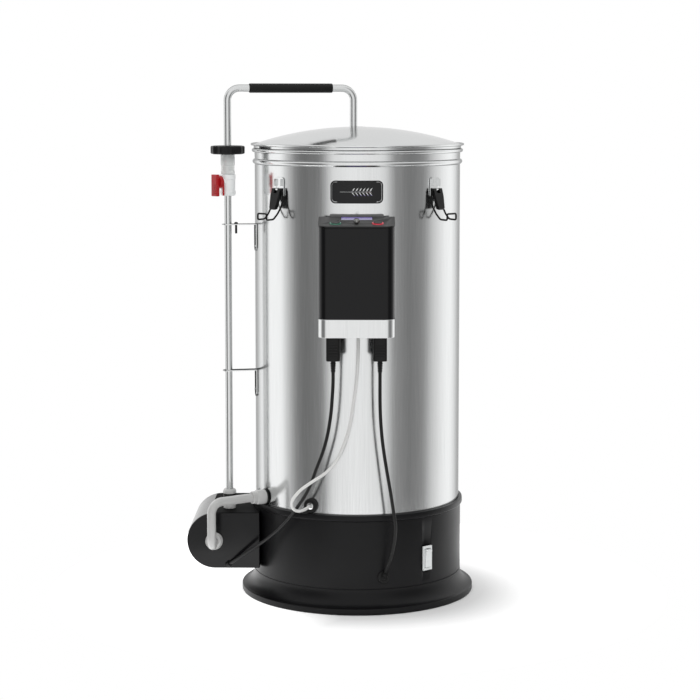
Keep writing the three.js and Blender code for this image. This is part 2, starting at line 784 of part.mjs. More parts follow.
function valveLever() {
  const hub = levelTurned([
    [0, VALVE_RADIUS + 3], [HUB_RADIUS - 0.6, VALVE_RADIUS + 3], [HUB_RADIUS, VALVE_RADIUS + 4],
    [HUB_RADIUS, 22], [0, 22]
  ], 16);
  const stemBore = levelTurned([[0, 10], [STEM_RADIUS + 0.4, 10], [STEM_RADIUS + 0.4, 18.6], [0, 18.6]], 12);
  const blade = solid(block([-6, 6], [-27.5, -21.1], [BALL_Z - 21, BALL_Z + 11.4]));
  const finger = solid(block([6.2, 8.4], [-16.4, -13.6], [BALL_Z - 20, BALL_Z]));
  return piece('valve_lever', cut(join(hub, blade, finger), stemBore), redPlastic());
}

function valveAdapter() {
  const low = VALVE_TOP_Z + GAP;
  const neckTop = NUT_TOP_Z - 5.4;
  const bore = ARM_RADIUS + 0.5;
  const profile = [
    [4.2, low], [ADAPTER_RADIUS, low], [ADAPTER_RADIUS, NUT_BOTTOM_Z - GAP], [8.8, NUT_BOTTOM_Z - GAP],
    [8.8, neckTop], [bore, neckTop], [bore, ARM_FOOT_Z - 1], [4.2, ARM_FOOT_Z - 2], [4.2, low]
  ];
  const body = solid(revolve(profile, SMALL_SIDES).translate(PIPE_X, PIPE_Y, 0));
  return piece('valve_adapter', body, finish(0xc9cccc, 0.3, 0));
}

// -------------------------------------------------------- recirculation arm

function armNut() {
  const outline = new THREE.Shape();
  const samples = NUT_LOBES * 3;
  for (let i = 0; i < samples; i += 1) {
    const angle = Math.PI * 2 * i / samples;
    const radius = NUT_RADIUS + NUT_LOBE_HEIGHT * Math.cos(NUT_LOBES * angle);
    outline[i === 0 ? 'moveTo' : 'lineTo'](radius * Math.cos(angle), radius * Math.sin(angle));
  }
  const body = cut(
    solid(extrude(outline, NUT_BOTTOM_Z, NUT_TOP_Z)),
    solid(rod(9.5, NUT_BOTTOM_Z - 1, NUT_TOP_Z - 4.6)),
    solid(rod(ARM_RADIUS + 0.7, NUT_BOTTOM_Z, NUT_TOP_Z + 1))
  );
  const mesh = piece('arm_nut', body, satinBlack());
  mesh.position.set(PIPE_X, PIPE_Y, 0);
  return mesh;
}

function armTube() {
  const route = [
    point(PIPE_X, PIPE_Y, ARM_FOOT_Z),
    point(PIPE_X, PIPE_Y, ARM_TOP_Z),
    point(ARM_SPOUT_X, ARM_SPOUT_Y, ARM_TOP_Z),
    point(ARM_SPOUT_X, ARM_SPOUT_Y, ARM_SPOUT_Z)
  ];
  const tube = bentTube(route, ARM_BEND, 4, ARM_RADIUS, ARM_RADIUS - ARM_WALL, 5);
  return piece('arm_tube', solid(tube), brushedSteel());
}

function armGrip() {
  const start = point(PIPE_X, PIPE_Y, ARM_TOP_Z);
  const end = point(ARM_SPOUT_X, ARM_SPOUT_Y, ARM_TOP_Z);
  const path = new SteppedPath([start.clone().lerp(end, GRIP_FROM), start.clone().lerp(end, GRIP_TO)]);
  return piece('arm_grip', solid(tubeAlong(path, 1, GRIP_RADIUS, ARM_RADIUS + 0.4, 8)), satinBlack());
}

// ---------------------------------------------------------------------- lid

// The dome is a cap of a sphere through the rim and the apex.
function domeProfile(edgeRadius, edgeZ, apexZ, steps) {
  const rise = apexZ - edgeZ;
  const sphere = (edgeRadius ** 2 + rise ** 2) / (2 * rise);
  const profile = [];
  for (let i = 0; i <= steps; i += 1) {
    const radius = LID_HOLE_RADIUS + (edgeRadius - LID_HOLE_RADIUS) * i / steps;
    profile.push([radius, apexZ - sphere + Math.sqrt(sphere ** 2 - radius ** 2)]);
  }
  return profile;
}

function lid() {
  const edge = 150;
  const top = domeProfile(edge, LID_RIM_Z, LID_APEX_Z, 4);
  const underside = domeProfile(edge, LID_RIM_Z - LID_SHEET, LID_APEX_Z - LID_SHEET, 3).reverse();
  const profile = [
    ...top,
    [156.5, 680],
    [LID_RADIUS - 0.8, LID_RIM_Z],
    [LID_RADIUS, 679],
    [LID_RADIUS - 1.2, 676.2],
    [156.5, 676.2],
    [156.5, BOILER_RIM_Z + GAP],
    [152.8, BOILER_RIM_Z + GAP],
    [152.8, 667],
    [151.6, 667],
    ...underside,
    top[0]
  ];
  return piece('lid', solid(revolve(profile)), polishedSteel());
}

// ------------------------------------------------------------------ latches

// Local frame of a latch: X along the boiler's wall, -Y out of it, Z up.
function latch(name, degrees) {
  const group = new THREE.Group();
  group.rotation.z = turn(degrees);
  group.add(latchPlate(name), latchLever(name), latchBail(name));
  return group;
}

function latchAxle(radius, halfWidth, sides) {
  const axle = rod(radius, -halfWidth, halfWidth, sides).rotateY(Math.PI / 2);
  return axle.translate(0, -LATCH_PIVOT_DISTANCE, LATCH_PIVOT_Z);
}

function latchPlate(name) {
  const plate = solid(extrudeAlongY(
    roundedRectangle(-LATCH_HALF_WIDTH, LATCH_HALF_WIDTH, 606, 633.5, 1.5, 4),
    -BOILER_CLEAR - 1.3, -BOILER_CLEAR, 1
  ));
  const knuckle = solid(block([-2.8, 2.8], [-LATCH_PIVOT_DISTANCE, -BOILER_CLEAR - 1], [613.5, 617.5]));
  const ears = [-1, 1].map((side) => solid(block(
    [side * 7 - 0.8, side * 7 + 0.8], [-LATCH_PIVOT_DISTANCE - 0.6, -BOILER_CLEAR - 1], [621, 631]
  )));
  return piece(
    `latch_plate_${name}`,
    join(plate, knuckle, solid(latchAxle(2, 2.8, 8)), ...ears),
    polishedSteel()
  );
}

function latchLever(name) {
  const side = new THREE.Shape();
  side.moveTo(157.8, 617.4);
  side.lineTo(162.4, 617.4);
  side.lineTo(166, 606);
  side.lineTo(170.4, 589);
  side.lineTo(168.8, 586.4);
  side.lineTo(164.6, 587.6);
  side.lineTo(160.4, 606);
  side.lineTo(157.8, 612);
  const front = new THREE.Shape();
  const half = LATCH_HALF_WIDTH - 0.8;
  front.moveTo(-half, 618);
  front.lineTo(half, 618);
  front.lineTo(half - 0.4, 606);
  front.lineTo(half - 2.8, 590);
  front.lineTo(half - 4, 585);
  front.lineTo(4 - half, 585);
  front.lineTo(2.8 - half, 590);
  front.lineTo(0.4 - half, 606);
  const depth = solid(extrude(side, -half, half).rotateX(Math.PI / 2).rotateZ(-Math.PI / 2));
  const width = solid(extrudeAlongY(front, -180, -150, 1));
  const fork = solid(block([-3.3, 3.3], [-165, -150], [610.5, 620]));
  const axleHole = solid(latchAxle(BAIL_WIRE + 0.35, LATCH_HALF_WIDTH + 2, 10).translate(0, 0, BAIL_DROP));
  return piece(`latch_lever_${name}`, cut(depth.intersect(width), fork, axleHole), satinBlack());
}

function latchBail(name) {
  const half = LATCH_HALF_WIDTH + 1.2;
  const side = [
    point(half - 4.5, -LATCH_PIVOT_DISTANCE, LATCH_PIVOT_Z + BAIL_DROP),
    point(half, -LATCH_PIVOT_DISTANCE, LATCH_PIVOT_Z + BAIL_DROP),
    point(half - 0.1, -158.9, 600),
    point(half - 0.5, -162.5, 590),
    point(half - 1.1, -168.5, 580.5),
    point(half - 1.5, -176, 573),
    point(half - 1.5, -189, 572.5),
    point(half - 1.5, -189, 581.5)
  ];
  const mirrored = side.map((corner) => point(-corner.x, corner.y, corner.z)).reverse();
  const path = new SteppedPath([...side, ...mirrored]);
  const wire = tubeAlong(path, path.points.length - 1, BAIL_WIRE, 0, 3);
  return piece(`latch_bail_${name}`, solid(wire), blackWire());
}

// -------------------------------------------------------------- control box

function boxOutline(width, front, corner) {
  return roundedRectangle(-width / 2, width / 2, front, BOX_BACK_Y, corner, 2);
}

// Everything above the sloping plane that is a distance below the cap's top.
function aboveSlope(depth) {
  const slab = block([-80, 80], [-90, 20], [0, 60]).translate(0, 0, -depth);
  return solid(slab.rotateX(CAP_SLOPE).translate(0, BOX_BACK_Y, CAP_BACK_Z));
}

function controlBracket() {
  const half = 38.5;
  const shape = new THREE.Shape();
  shape.moveTo(-half, BOX_BACK_Y + GAP);
  shape.lineTo(half, BOX_BACK_Y + GAP);
  const steps = 8;
  for (let i = 0; i <= steps; i += 1) {
    const x = half - 2 * half * i / steps;
    shape.lineTo(x, -Math.sqrt((BOILER_CLEAR + 0.2) ** 2 - x ** 2));
  }
  return piece('control_bracket', solid(extrude(shape, 440, 582.4)), satinBlack());
}

function controlBody() {
  const low = BAND_TOP_Z + GAP;
  const outer = solid(extrude(boxOutline(BOX_WIDTH, BOX_FRONT_Y, BOX_CORNER), low, 590, 3));
  const wall = BOX_WALL;
  const cavity = solid(extrude(roundedRectangle(
    -BOX_WIDTH / 2 + wall, BOX_WIDTH / 2 - wall, BOX_FRONT_Y + wall, BOX_BACK_Y - wall, BOX_CORNER - wall, 1
  ), 430, 600, 2));
  return piece('control_body', cut(outer, cavity, aboveSlope(CAP_THICKNESS + GAP)), glossBlack());
}

function controlBand() {
  const outer = solid(extrude(boxOutline(CAP_WIDTH, CAP_FRONT_Y, CAP_CORNER), BAND_BOTTOM_Z, BAND_TOP_Z, 3));
  const wall = BAND_WALL;
  const cavity = solid(extrude(roundedRectangle(
    -CAP_WIDTH / 2 + wall, CAP_WIDTH / 2 - wall, CAP_FRONT_Y + wall, BOX_BACK_Y - wall, CAP_CORNER - wall, 1
  ), BAND_BOTTOM_Z + 3, 450, 2));
  return piece('control_band', cut(outer, cavity), paleAluminium());
}

// Local frame of the panel: Z out of the sloping top, -Y down the slope.
function controlPanel() {
  const group = new THREE.Group();
  group.rotation.x = CAP_SLOPE;
  group.position.set(0, BOX_BACK_Y, CAP_BACK_Z);
  group.add(
    controlCap(),
    displayWindow(),
    panelButton('green_button', -BUTTON_SPREAD, finish(0x4f8f7c, 0.35, 0)),
    panelButton('red_button', BUTTON_SPREAD, finish(0xc8283c, 0.35, 0)),
    menuKnob()
  );
  return group;
}

function controlCap() {
  const depth = (BOX_BACK_Y - CAP_FRONT_Y) / Math.cos(CAP_SLOPE);
  const plate = roundedRectangle(-CAP_WIDTH / 2, CAP_WIDTH / 2, -depth, -0.9, CAP_CORNER, 2);
  const half = DISPLAY_WIDTH / 2;
  const pocket = block([-half, half], [-2.5 - DISPLAY_DEPTH, -2.5], [-POCKET_DEPTH, 2]);
  const window = block([-half + 2, half - 2], [-DISPLAY_DEPTH - 0.5, -4.5], [-10, 2]);
  const buttonHole = (x) => rod(BUTTON_RADIUS + 0.4, -10, 2).translate(x, BUTTON_ROW_Y, 0);
  const knobHole = rod(2.8, -10, 2).translate(0, KNOB_ROW_Y, 0);
  const tools = [pocket, window, buttonHole(-BUTTON_SPREAD), buttonHole(BUTTON_SPREAD), knobHole];
  const body = cut(solid(extrude(plate, -CAP_THICKNESS, 0, 3)), ...tools.map(solid));
  return piece('control_cap', body, finish(0x5f6060, 0.4, 0.5));
}

function displayWindow() {
  const half = DISPLAY_WIDTH / 2 - GAP;
  const plate = block([-half, half], [-2.2 - DISPLAY_DEPTH, -2.8], [GAP - POCKET_DEPTH, -GAP]);
  return piece('display_window', solid(plate), finish(0x7f78b8, 0.15, 0));
}

function panelButton(name, x, material) {
  const profile = [
    [0, -9], [3, -9], [3, -5], [BUTTON_RADIUS, -4], [BUTTON_RADIUS, 0.6], [BUTTON_RADIUS - 1, 1.1],
    [BUTTON_RADIUS - 2, 1.1], [BUTTON_RADIUS - 2.3, 2.2], [0, 2.2]
  ];
  const mesh = piece(name, solid(revolve(profile, SMALL_SIDES)), material);
  mesh.position.set(x, BUTTON_ROW_Y, 0);
  return mesh;
}

function menuKnob() {
  const profile = [
    [0, -9], [2.3, -9], [2.3, 1.8], [KNOB_RADIUS, 2], [KNOB_RADIUS, 5], [3.6, 7], [1.6, 8], [0, 8.2]
  ];
  const mesh = piece('menu_knob', solid(revolve(profile, 12)), finish(0x8a8a88, 0.25, 0.9));
  mesh.position.set(0, KNOB_ROW_Y, 0);
  return mesh;
}

function plug(name, x) {
  const half = PLUG_WIDTH / 2;
  const top = BAND_BOTTOM_Z - GAP;
  const outline = roundedRectangle(-half, half, -PLUG_DEPTH / 2, PLUG_DEPTH / 2, 2.5);
  const body = extrude(outline, PLUG_BOTTOM_Z, top, 2);
  const relief = revolve([
    [0, RELIEF_END_Z], [3.2, RELIEF_END_Z], [4.4, PLUG_BOTTOM_Z + 1], [0, PLUG_BOTTOM_Z + 1]
  ], 12);
  const mesh = piece(name, join(solid(body), solid(relief)), satinBlack());
  mesh.position.set(x, PLUG_Y, 0);
  return mesh;
}

// -------------------------------------------------------------------- cords

function cord(name, route, radius, steps, material) {
  const curve = new THREE.CatmullRomCurve3(route.map((corner) => point(...corner)), false, 'centripetal');
  return piece(name, solid(tubeAlong(curve, steps, radius, 0, 4)), material);
}

function probeGrommet() {
  const profile = [
    [0, 147], [4, 147], [4, BOILER_CLEAR], [11, BOILER_CLEAR], [11, BOILER_CLEAR + 2.6],
    [9.6, BOILER_CLEAR + 4], [0, BOILER_CLEAR + 4]
  ];
  return piece('probe_grommet', solid(revolveOutwards(profile, PROBE_ANGLE, PROBE_Z, 20)), satinBlack());
}

// ------------------------------------------------------------- grain basket

function grainBasket() {
  const inner = BASKET_RADIUS - 1.2;
  const profile = [
    [inner, BASKET_BOTTOM_Z], [BASKET_RADIUS, BASKET_BOTTOM_Z], [BASKET_RADIUS, BASKET_TOP_Z - 4],
    [BASKET_RADIUS + 3, BASKET_TOP_Z - 3], [BASKET_RADIUS + 3, BASKET_TOP_Z], [inner, BASKET_TOP_Z],
    [inner, SCREEN_Z - GAP], [inner - 5, SCREEN_Z - GAP], [inner - 5, SCREEN_Z - 1.8],
    [inner, SCREEN_Z - 3], [inner, BASKET_BOTTOM_Z]
  ];
  return piece('grain_basket', solid(revolve(profile, BASKET_SIDES)), brushedSteel());
}

function perforatedDisc(name, radius, boreRadius, low, high) {
  const holes = [];
  [60, 105].forEach((ring, row) => {
    const count = 5 + 3 * row;
    for (let i = 0; i < count; i += 1) {
      const angle = Math.PI * 2 * i / count;
      holes.push(rod(4, low - 1, high + 1, 6).translate(ring * Math.cos(angle), ring * Math.sin(angle), 0));
    }
  });
  const disc = solid(rod(radius, low, high, BASKET_SIDES));
  const bore = solid(rod(boreRadius, low - 1, high + 1));
  return piece(name, cut(disc, bore, ...holes.map(solid)), brushedSteel());
}

function overflowPipe() {
  const low = SCREEN_Z + 1.8;
  const profile = [
    [11.5, low], [20, low], [20, low + 1.2], [12.7, low + 1.2], [12.7, 560], [11.5, 560], [11.5, low]
  ];
  return piece('overflow_pipe', solid(revolve(profile, SMALL_SIDES)), brushedSteel());
}

// ----------------------------------------------------------------- assembly

const brewer = new THREE.Group();
brewer.add(
  boilerShell(),
  badgePlate(),
  baseRing(),
  baseHousing(),
  baseCover(),
  heaterPlate(),
  heaterCordGrommet(),
  heatSwitch(),
  pumpHousing(),
  pumpHead(),
  pumpImpeller(),
  pumpMotor(),
  pumpCordGland(),
  inletCoupling(),
  inletPipe(),
  inletFitting(),
  outletFitting(),
  dischargePipe(),
  pipeBracket('upper_bracket', UPPER_STRAP_Z, true),
  pipeBracket('lower_bracket', LOWER_STRAP_Z, false),
  clipScrew(),
  valve(),
  valveAdapter(),
  armNut(),
  armTube(),
  armGrip(),
  lid(),
  controlBracket(),
  controlBody(),
  controlBand(),
  controlPanel(),
  plug('pump_plug', -PLUG_SPREAD),
  plug('heater_plug', PLUG_SPREAD),
  cord('pump_cord', PUMP_CORD_ROUTE, BLACK_CORD_RADIUS, 28, cordRubber()),
  cord('heater_cord', HEATER_CORD_ROUTE, BLACK_CORD_RADIUS, 22, cordRubber()),
  cord('probe_cord', PROBE_CORD_ROUTE, PROBE_CORD_RADIUS, 32, finish(0xb8b8b6, 0.5, 0)),
  probeGrommet(),
  grainBasket(),
  perforatedDisc('bottom_screen', BASKET_RADIUS - 1.7, 10, SCREEN_Z, SCREEN_Z + 1.4),
  perforatedDisc('top_screen', BASKET_RADIUS - 2, 13.6, 470, 471.4),
  overflowPipe()
);
for (const [name, degrees] of Object.entries(LATCH_ANGLES)) {
  brewer.add(latch(name, degrees));
}

export default brewer;
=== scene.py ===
"""Looks of the electric all-in-one brewer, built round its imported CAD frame.

Sizes in the lists below are millimetres in the row frame: origin under the middle of the base,
+Z up, the front faces -Y. Angles round the boiler are degrees from the front, positive to +X.
"""

import math

import bmesh
import bpy
from mathutils import Matrix, Vector


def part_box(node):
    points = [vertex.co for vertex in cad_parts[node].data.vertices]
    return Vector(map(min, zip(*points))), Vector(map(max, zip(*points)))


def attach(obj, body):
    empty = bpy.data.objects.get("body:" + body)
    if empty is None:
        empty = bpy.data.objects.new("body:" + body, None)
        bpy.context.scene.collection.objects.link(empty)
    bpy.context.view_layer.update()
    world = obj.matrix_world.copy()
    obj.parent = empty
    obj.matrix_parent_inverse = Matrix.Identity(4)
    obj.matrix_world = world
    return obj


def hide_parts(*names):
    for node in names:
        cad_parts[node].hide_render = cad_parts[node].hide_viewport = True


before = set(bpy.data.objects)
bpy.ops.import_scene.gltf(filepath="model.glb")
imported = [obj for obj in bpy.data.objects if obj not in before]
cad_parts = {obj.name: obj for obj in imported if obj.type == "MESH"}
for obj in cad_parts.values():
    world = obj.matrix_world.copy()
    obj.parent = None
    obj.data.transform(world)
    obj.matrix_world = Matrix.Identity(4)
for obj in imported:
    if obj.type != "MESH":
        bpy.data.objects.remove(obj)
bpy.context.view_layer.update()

MM = 0.001
SHARP_ANGLE = math.radians(34)
FLOOR_RADIUS = 470


def box_mm(node):
    """Lowest and highest corner of a CAD node, in millimetres."""
    low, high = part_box(node)
    return low / MM, high / MM


# ---------------------------------------------------------------- driving sizes

BOILER_FLOOR = box_mm("boiler_shell")[0].z
BOILER_RIM = box_mm("boiler_shell")[1].z
BOILER_RADIUS = 155.0
BOILER_WALL = 1.5
WALL_CLEAR = BOILER_RADIUS + 0.4

BASE_RADIUS = 157.7
BASE_TOP = box_mm("base_housing")[1].z
FLANGE_RADIUS = box_mm("base_ring")[1].x
FLANGE_LIP = 9
FLARE_TOP = box_mm("base_ring")[1].z

PIPE_LOW, PIPE_HIGH = box_mm("discharge_pipe")
PIPE_X = (PIPE_LOW.x + PIPE_HIGH.x) / 2
PIPE_Y = (PIPE_LOW.y + PIPE_HIGH.y) / 2
PIPE_RADIUS = (PIPE_HIGH.x - PIPE_LOW.x) / 2

ARM_TOP = box_mm("arm_grip")[1].z - 7
ARM_RADIUS = 5.3
ARM_BEND = 18
SPOUT_X = -5.8

NUT_LOW, NUT_HIGH = box_mm("arm_nut")
VALVE_LOW, VALVE_HIGH = box_mm("valve_body")
BALL_Z = 624
ADAPTER_LOW, ADAPTER_HIGH = box_mm("valve_adapter")

BOX_BACK = -157.3
CAP_FRONT = box_mm("control_cap")[0].y
CAP_WIDTH = 109.0
CAP_SLOPE = math.atan2(10.4, 61)
CAP_BACK_Z = 579.4
BOX_WIDTH = 107.6
BOX_FRONT = box_mm("control_body")[0].y
BAND_LOW, BAND_HIGH = box_mm("control_band")
BUTTON_X = 30
BUTTON_Y = -44
KNOB_Y = -47

HOUSING_LOW, HOUSING_HIGH = box_mm("pump_housing")
PUMP_AXIS_X = -214.0
PUMP_AXIS_Z = 87.5
INLET_LEG_Y = -124

OUTLET_ANGLE = -61.3
OUTLET_Z = 154.5
PROBE_ANGLE = -25.4
PROBE_Z = 154.4
HEATER_ANGLE = 14.4
HEATER_Z = 51.3
SWITCH_ANGLE = 40.6
LATCHES = {"front_left": -46.5, "front_right": 46.5, "rear_right": 133.5, "rear_left": -133.5}

# The cords' routes, each from where it leaves the object.
PUMP_CORD = [
    (-190.6, -79.5, 53.6), (-184, -84.6, 58.4), (-172.7, -92, 67.6), (-156.9, -101, 79.8),
    (-144.2, -109, 89.7), (-125.3, -123, 106.4), (-109.6, -136, 122.8), (-94.1, -149.5, 143.3),
    (-84.3, -159.5, 159.1), (-70, -170.5, 184), (-58, -178.5, 216), (-45.4, -184.5, 252),
    (-37.8, -187.4, 290), (-34.6, -188, 325), (-33.6, -188, 345), (-33.5, -188, 358.2),
]
HEATER_CORD = [
    (42.1, -159, 59.4), (44.6, -163.2, 68.5), (49.4, -166.8, 82), (53.9, -171, 103), (56.2, -175, 126),
    (55.2, -176.7, 141), (53, -178, 156), (49.6, -180.1, 178.5), (45.8, -182, 201), (42.1, -183.6, 223),
    (38.8, -185, 245), (36.9, -185.9, 260), (35.5, -186.6, 275), (34.3, -187.2, 292.5),
    (33.7, -187.6, 310), (33.5, -187.9, 325), (33.5, -188, 340), (33.5, -188, 358.2),
]
PROBE_CORD = [
    (2.4, -190, 410.5), (2.4, -190, 398), (2.1, -190, 382), (1.2, -190, 360), (-0.8, -189.8, 337.3),
    (-4.8, -189.3, 311.2), (-8.9, -188.5, 285.1), (-13.8, -187.8, 266.1), (-21.3, -186.9, 245.6),
    (-27.5, -186.1, 232.4), (-44.2, -184.6, 212.1), (-61.9, -183, 199.6), (-80.1, -180.6, 186),
    (-87.5, -178.6, 177.8), (-92.4, -175.5, 169.9), (-94, -171.5, 162.8), (-91.9, -167, 155.8),
    (-86.1, -162.6, 151.3), (-78.9, -158.4, 151.3), (-72.5, -152.6, 153.2), (-69.1, -145.3, 154.4),
]


# --------------------------------------------------------------------- camera

def make_camera():
    camera = bpy.data.objects.new("camera", bpy.data.cameras.new("camera"))
    bpy.context.scene.collection.objects.link(camera)
    camera.location = (0.0159, -2.9159, 0.7482)
    camera.rotation_euler = (math.radians(84.648), 0, math.radians(0.531))
    camera.data.sensor_width = 36
    camera.data.lens = 99.11
    camera.data.shift_y = -0.102
    bpy.context.scene.camera = camera


# ------------------------------------------------------------- mesh helpers

def add_object(name, mesh, place=None):
    """A smooth-shaded object with its place baked into its vertices."""
    if place is not None:
        mesh.transform(place)
    for polygon in mesh.polygons:
        polygon.use_smooth = True
    mesh.set_sharp_from_angle(angle=SHARP_ANGLE)
    piece = bpy.data.objects.new(name, mesh)
    bpy.context.scene.collection.objects.link(piece)
    return piece


def from_rings(name, rings, wrap, place=None):
    """Joins rings of points into one skin; a ring of one point is a tip, and open ends are capped."""
    bm = bmesh.new()
    made = [[bm.verts.new(Vector(p) * MM) for p in ring] for ring in rings]
    sides = max(len(ring) for ring in made)
    pairs = list(zip(made, made[1:] + made[:1])) if wrap else list(zip(made, made[1:]))
    for near, far in pairs:
        for i in range(sides):
            j = (i + 1) % sides
            corners = [near[i % len(near)], near[j % len(near)], far[j % len(far)], far[i % len(far)]]
            corners = list(dict.fromkeys(corners))
            if len(corners) > 2:
                bm.faces.new(corners)
    if not wrap:
        for ring in (made[0], made[-1]):
            if len(ring) > 2:
                bm.faces.new(ring)
    bmesh.ops.recalc_face_normals(bm, faces=bm.faces)
    mesh = bpy.data.meshes.new(name)
    bm.to_mesh(mesh)
    bm.free()
    return add_object(name, mesh, place)


def lathe(name, profile, sides=128, place=None):
    """A profile of (radius, height) turned round Z, from axis to axis or closed on itself."""
    wrap = profile[0] == profile[-1]
    rings = []
    for radius, height in profile[:-1] if wrap else profile:
        count = sides if radius > 1e-6 else 1
        turns = [2 * math.pi * i / count for i in range(count)]
        rings.append([(radius * math.sin(a), -radius * math.cos(a), height) for a in turns])
    return from_rings(name, rings, wrap, place)


def arc(centre, radius, start, end, steps):
    """Points of an arc in the profile's plane, from one angle in degrees to another."""
    points = []
    for i in range(steps + 1):
        angle = math.radians(start + (end - start) * i / steps)
        points.append((centre[0] + radius * math.cos(angle), centre[1] + radius * math.sin(angle)))
    return points


def rounded_rectangle(low_x, high_x, low_y, high_y, low_radius, high_radius=None, steps=8):
    high_radius = low_radius if high_radius is None else high_radius
    return (
        arc((high_x - low_radius, low_y + low_radius), low_radius, -90, 0, steps)
        + arc((high_x - high_radius, high_y - high_radius), high_radius, 0, 90, steps)
        + arc((low_x + high_radius, high_y - high_radius), high_radius, 90, 180, steps)
        + arc((low_x + low_radius, low_y + low_radius), low_radius, 180, 270, steps)
    )


def prism(name, outline, low, high, place=None):
    """An outline carried along Z between two heights, each a number or a function of (x, y)."""
    level = lambda height, x, y: height(x, y) if callable(height) else height
    rings = [[(x, y, level(height, x, y)) for x, y in outline] for height in (low, high)]
    return from_rings(name, rings, False, place)


def bent(corners, bend, steps=8):
    """Corner points with each inner corner rounded to the bend radius."""
    corners = [Vector(c) for c in corners]
    points = [corners[0]]
    for before, corner, after in zip(corners, corners[1:], corners[2:]):
        back = (before - corner).normalized()
        ahead = (after - corner).normalized()
        half = back.angle(ahead) / 2
        inward = (back + ahead).normalized()
        centre = corner + inward * (bend / math.sin(half))
        start = corner + back * (bend / math.tan(half)) - centre
        axis = start.cross(-inward).normalized()
        for k in range(steps + 1):
            turn = Matrix.Rotation((math.pi - 2 * half) * k / steps, 3, axis)
            points.append(turn @ start + centre)
    points.append(corners[-1])
    return points


def sweep(name, points, radius, sides=20, inner=0):
    """A round tube along points, closed at its ends, or bored right through."""
    points = [Vector(p) for p in points]
    ways = [(b - a).normalized() for a, b in zip(points, points[1:])]
    tangents = [ways[0]] + [(a + b).normalized() for a, b in zip(ways, ways[1:])] + [ways[-1]]
    side = tangents[0].orthogonal().normalized()
    outer_rings, inner_rings = [], []
    for point, tangent in zip(points, tangents):
        side = (side - tangent * side.dot(tangent)).normalized()
        other = tangent.cross(side)
        turns = [2 * math.pi * i / sides for i in range(sides)]
        spokes = [side * math.cos(a) + other * math.sin(a) for a in turns]
        outer_rings.append([point + spoke * radius for spoke in spokes])
        inner_rings.append([point + spoke * inner for spoke in spokes])
    if inner:
        return from_rings(name, outer_rings + inner_rings[::-1], True)
    return from_rings(name, outer_rings, False)


def bevelled(piece, width, segments=3):
    """Rounds the piece's sharp edges, width in millimetres."""
    modifier = piece.modifiers.new("edges", "BEVEL")
    modifier.width = width * MM
    modifier.segments = segments
    modifier.limit_method = "ANGLE"
    modifier.angle_limit = SHARP_ANGLE
    modifier.harden_normals = True
    return piece


def refined(name, node, width):
    """A copy of a flat-sided CAD node with its flat faces merged and its edges rounded."""
    bm = bmesh.new()
    bm.from_mesh(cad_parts[node].data)
    bmesh.ops.remove_doubles(bm, verts=bm.verts, dist=0.02 * MM)
    bmesh.ops.dissolve_limit(bm, angle_limit=math.radians(1.5), verts=bm.verts, edges=bm.edges)
    mesh = bpy.data.meshes.new(name)
    bm.to_mesh(mesh)
    bm.free()
    return bevelled(add_object(name, mesh), width, 2)


def apply_modifiers(piece):
    """Turns the piece's modifiers into real mesh."""
    final = piece.evaluated_get(bpy.context.evaluated_depsgraph_get())
    piece.data = bpy.data.meshes.new_from_object(final)
    piece.modifiers.clear()
    return piece


def cut(piece, *cutters):
    """Takes the cutters out of the piece and removes them."""
    for cutter in cutters:
        modifier = piece.modifiers.new("cut", "BOOLEAN")
        modifier.operation = "DIFFERENCE"
        modifier.solver = "EXACT"
        modifier.object = cutter
    apply_modifiers(piece)
    for cutter in cutters:
        bpy.data.objects.remove(cutter)
    return piece


def joined(piece, *others):
    """Adds the other pieces' meshes to the first one's."""
    bm = bmesh.new()
    for part in (piece, *others):
        bm.from_mesh(part.data)
    bm.to_mesh(piece.data)
    bm.free()
    for part in others:
        bpy.data.objects.remove(part)
    return piece


def outwards(angle, height):
    """Places a lathe so that its axis points straight out of the boiler."""
    lift = Matrix.Translation((0, 0, height * MM))
    return lift @ Matrix.Rotation(math.radians(angle), 4, "Z") @ Matrix.Rotation(math.pi / 2, 4, "X")


def turned(angle):
    """The frame of a part that is drawn at the front and sits at an angle round the boiler."""
    return Matrix.Rotation(math.radians(angle), 4, "Z")


def at(x, y, z=0):
    return Matrix.Translation((x * MM, y * MM, z * MM))


def around(distance, angle, height):
    a = math.radians(angle)
    return (distance * math.sin(a), -distance * math.cos(a), height)


def dress(piece, material, body, slot, *nodes):
    """Gives a piece its material, its body and the CAD nodes that it stands for."""
    piece.data.materials.clear()
    piece.data.materials.append(material)
    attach(piece, body)
    if nodes:
        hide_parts(*nodes)
    return piece


def recoat(piece, material, chosen):
    """Gives the faces that a test picks another material."""
    piece.data.materials.append(material)
    for face in piece.data.polygons:
        if chosen(face):
            face.material_index = len(piece.data.materials) - 1


# ---------------------------------------------------------------- materials

def shader(name, color, roughness, metallic=0.0):
    """A Principled material, with its node tree ready for more detail."""
    material = bpy.data.materials.new(name)
    material.use_nodes = True
    principled = material.node_tree.nodes["Principled BSDF"]
    principled.inputs["Base Color"].default_value = (*color, 1)
    principled.inputs["Roughness"].default_value = roughness
    principled.inputs["Metallic"].default_value = metallic
    return material, principled


def grain(material, scale, stretch=(1, 1, 1), detail=4):
    """A noise over the part's own coordinates, stretched along its axes."""
    nodes, links = material.node_tree.nodes, material.node_tree.links
    where = nodes.new("ShaderNodeTexCoord")
    mapping = nodes.new("ShaderNodeMapping")
    mapping.inputs["Scale"].default_value = stretch
    noise = nodes.new("ShaderNodeTexNoise")
    noise.inputs["Scale"].default_value = scale
    noise.inputs["Detail"].default_value = detail
    links.new(where.outputs["Object"], mapping.inputs["Vector"])
    links.new(mapping.outputs["Vector"], noise.inputs["Vector"])
    return noise.outputs["Fac"]


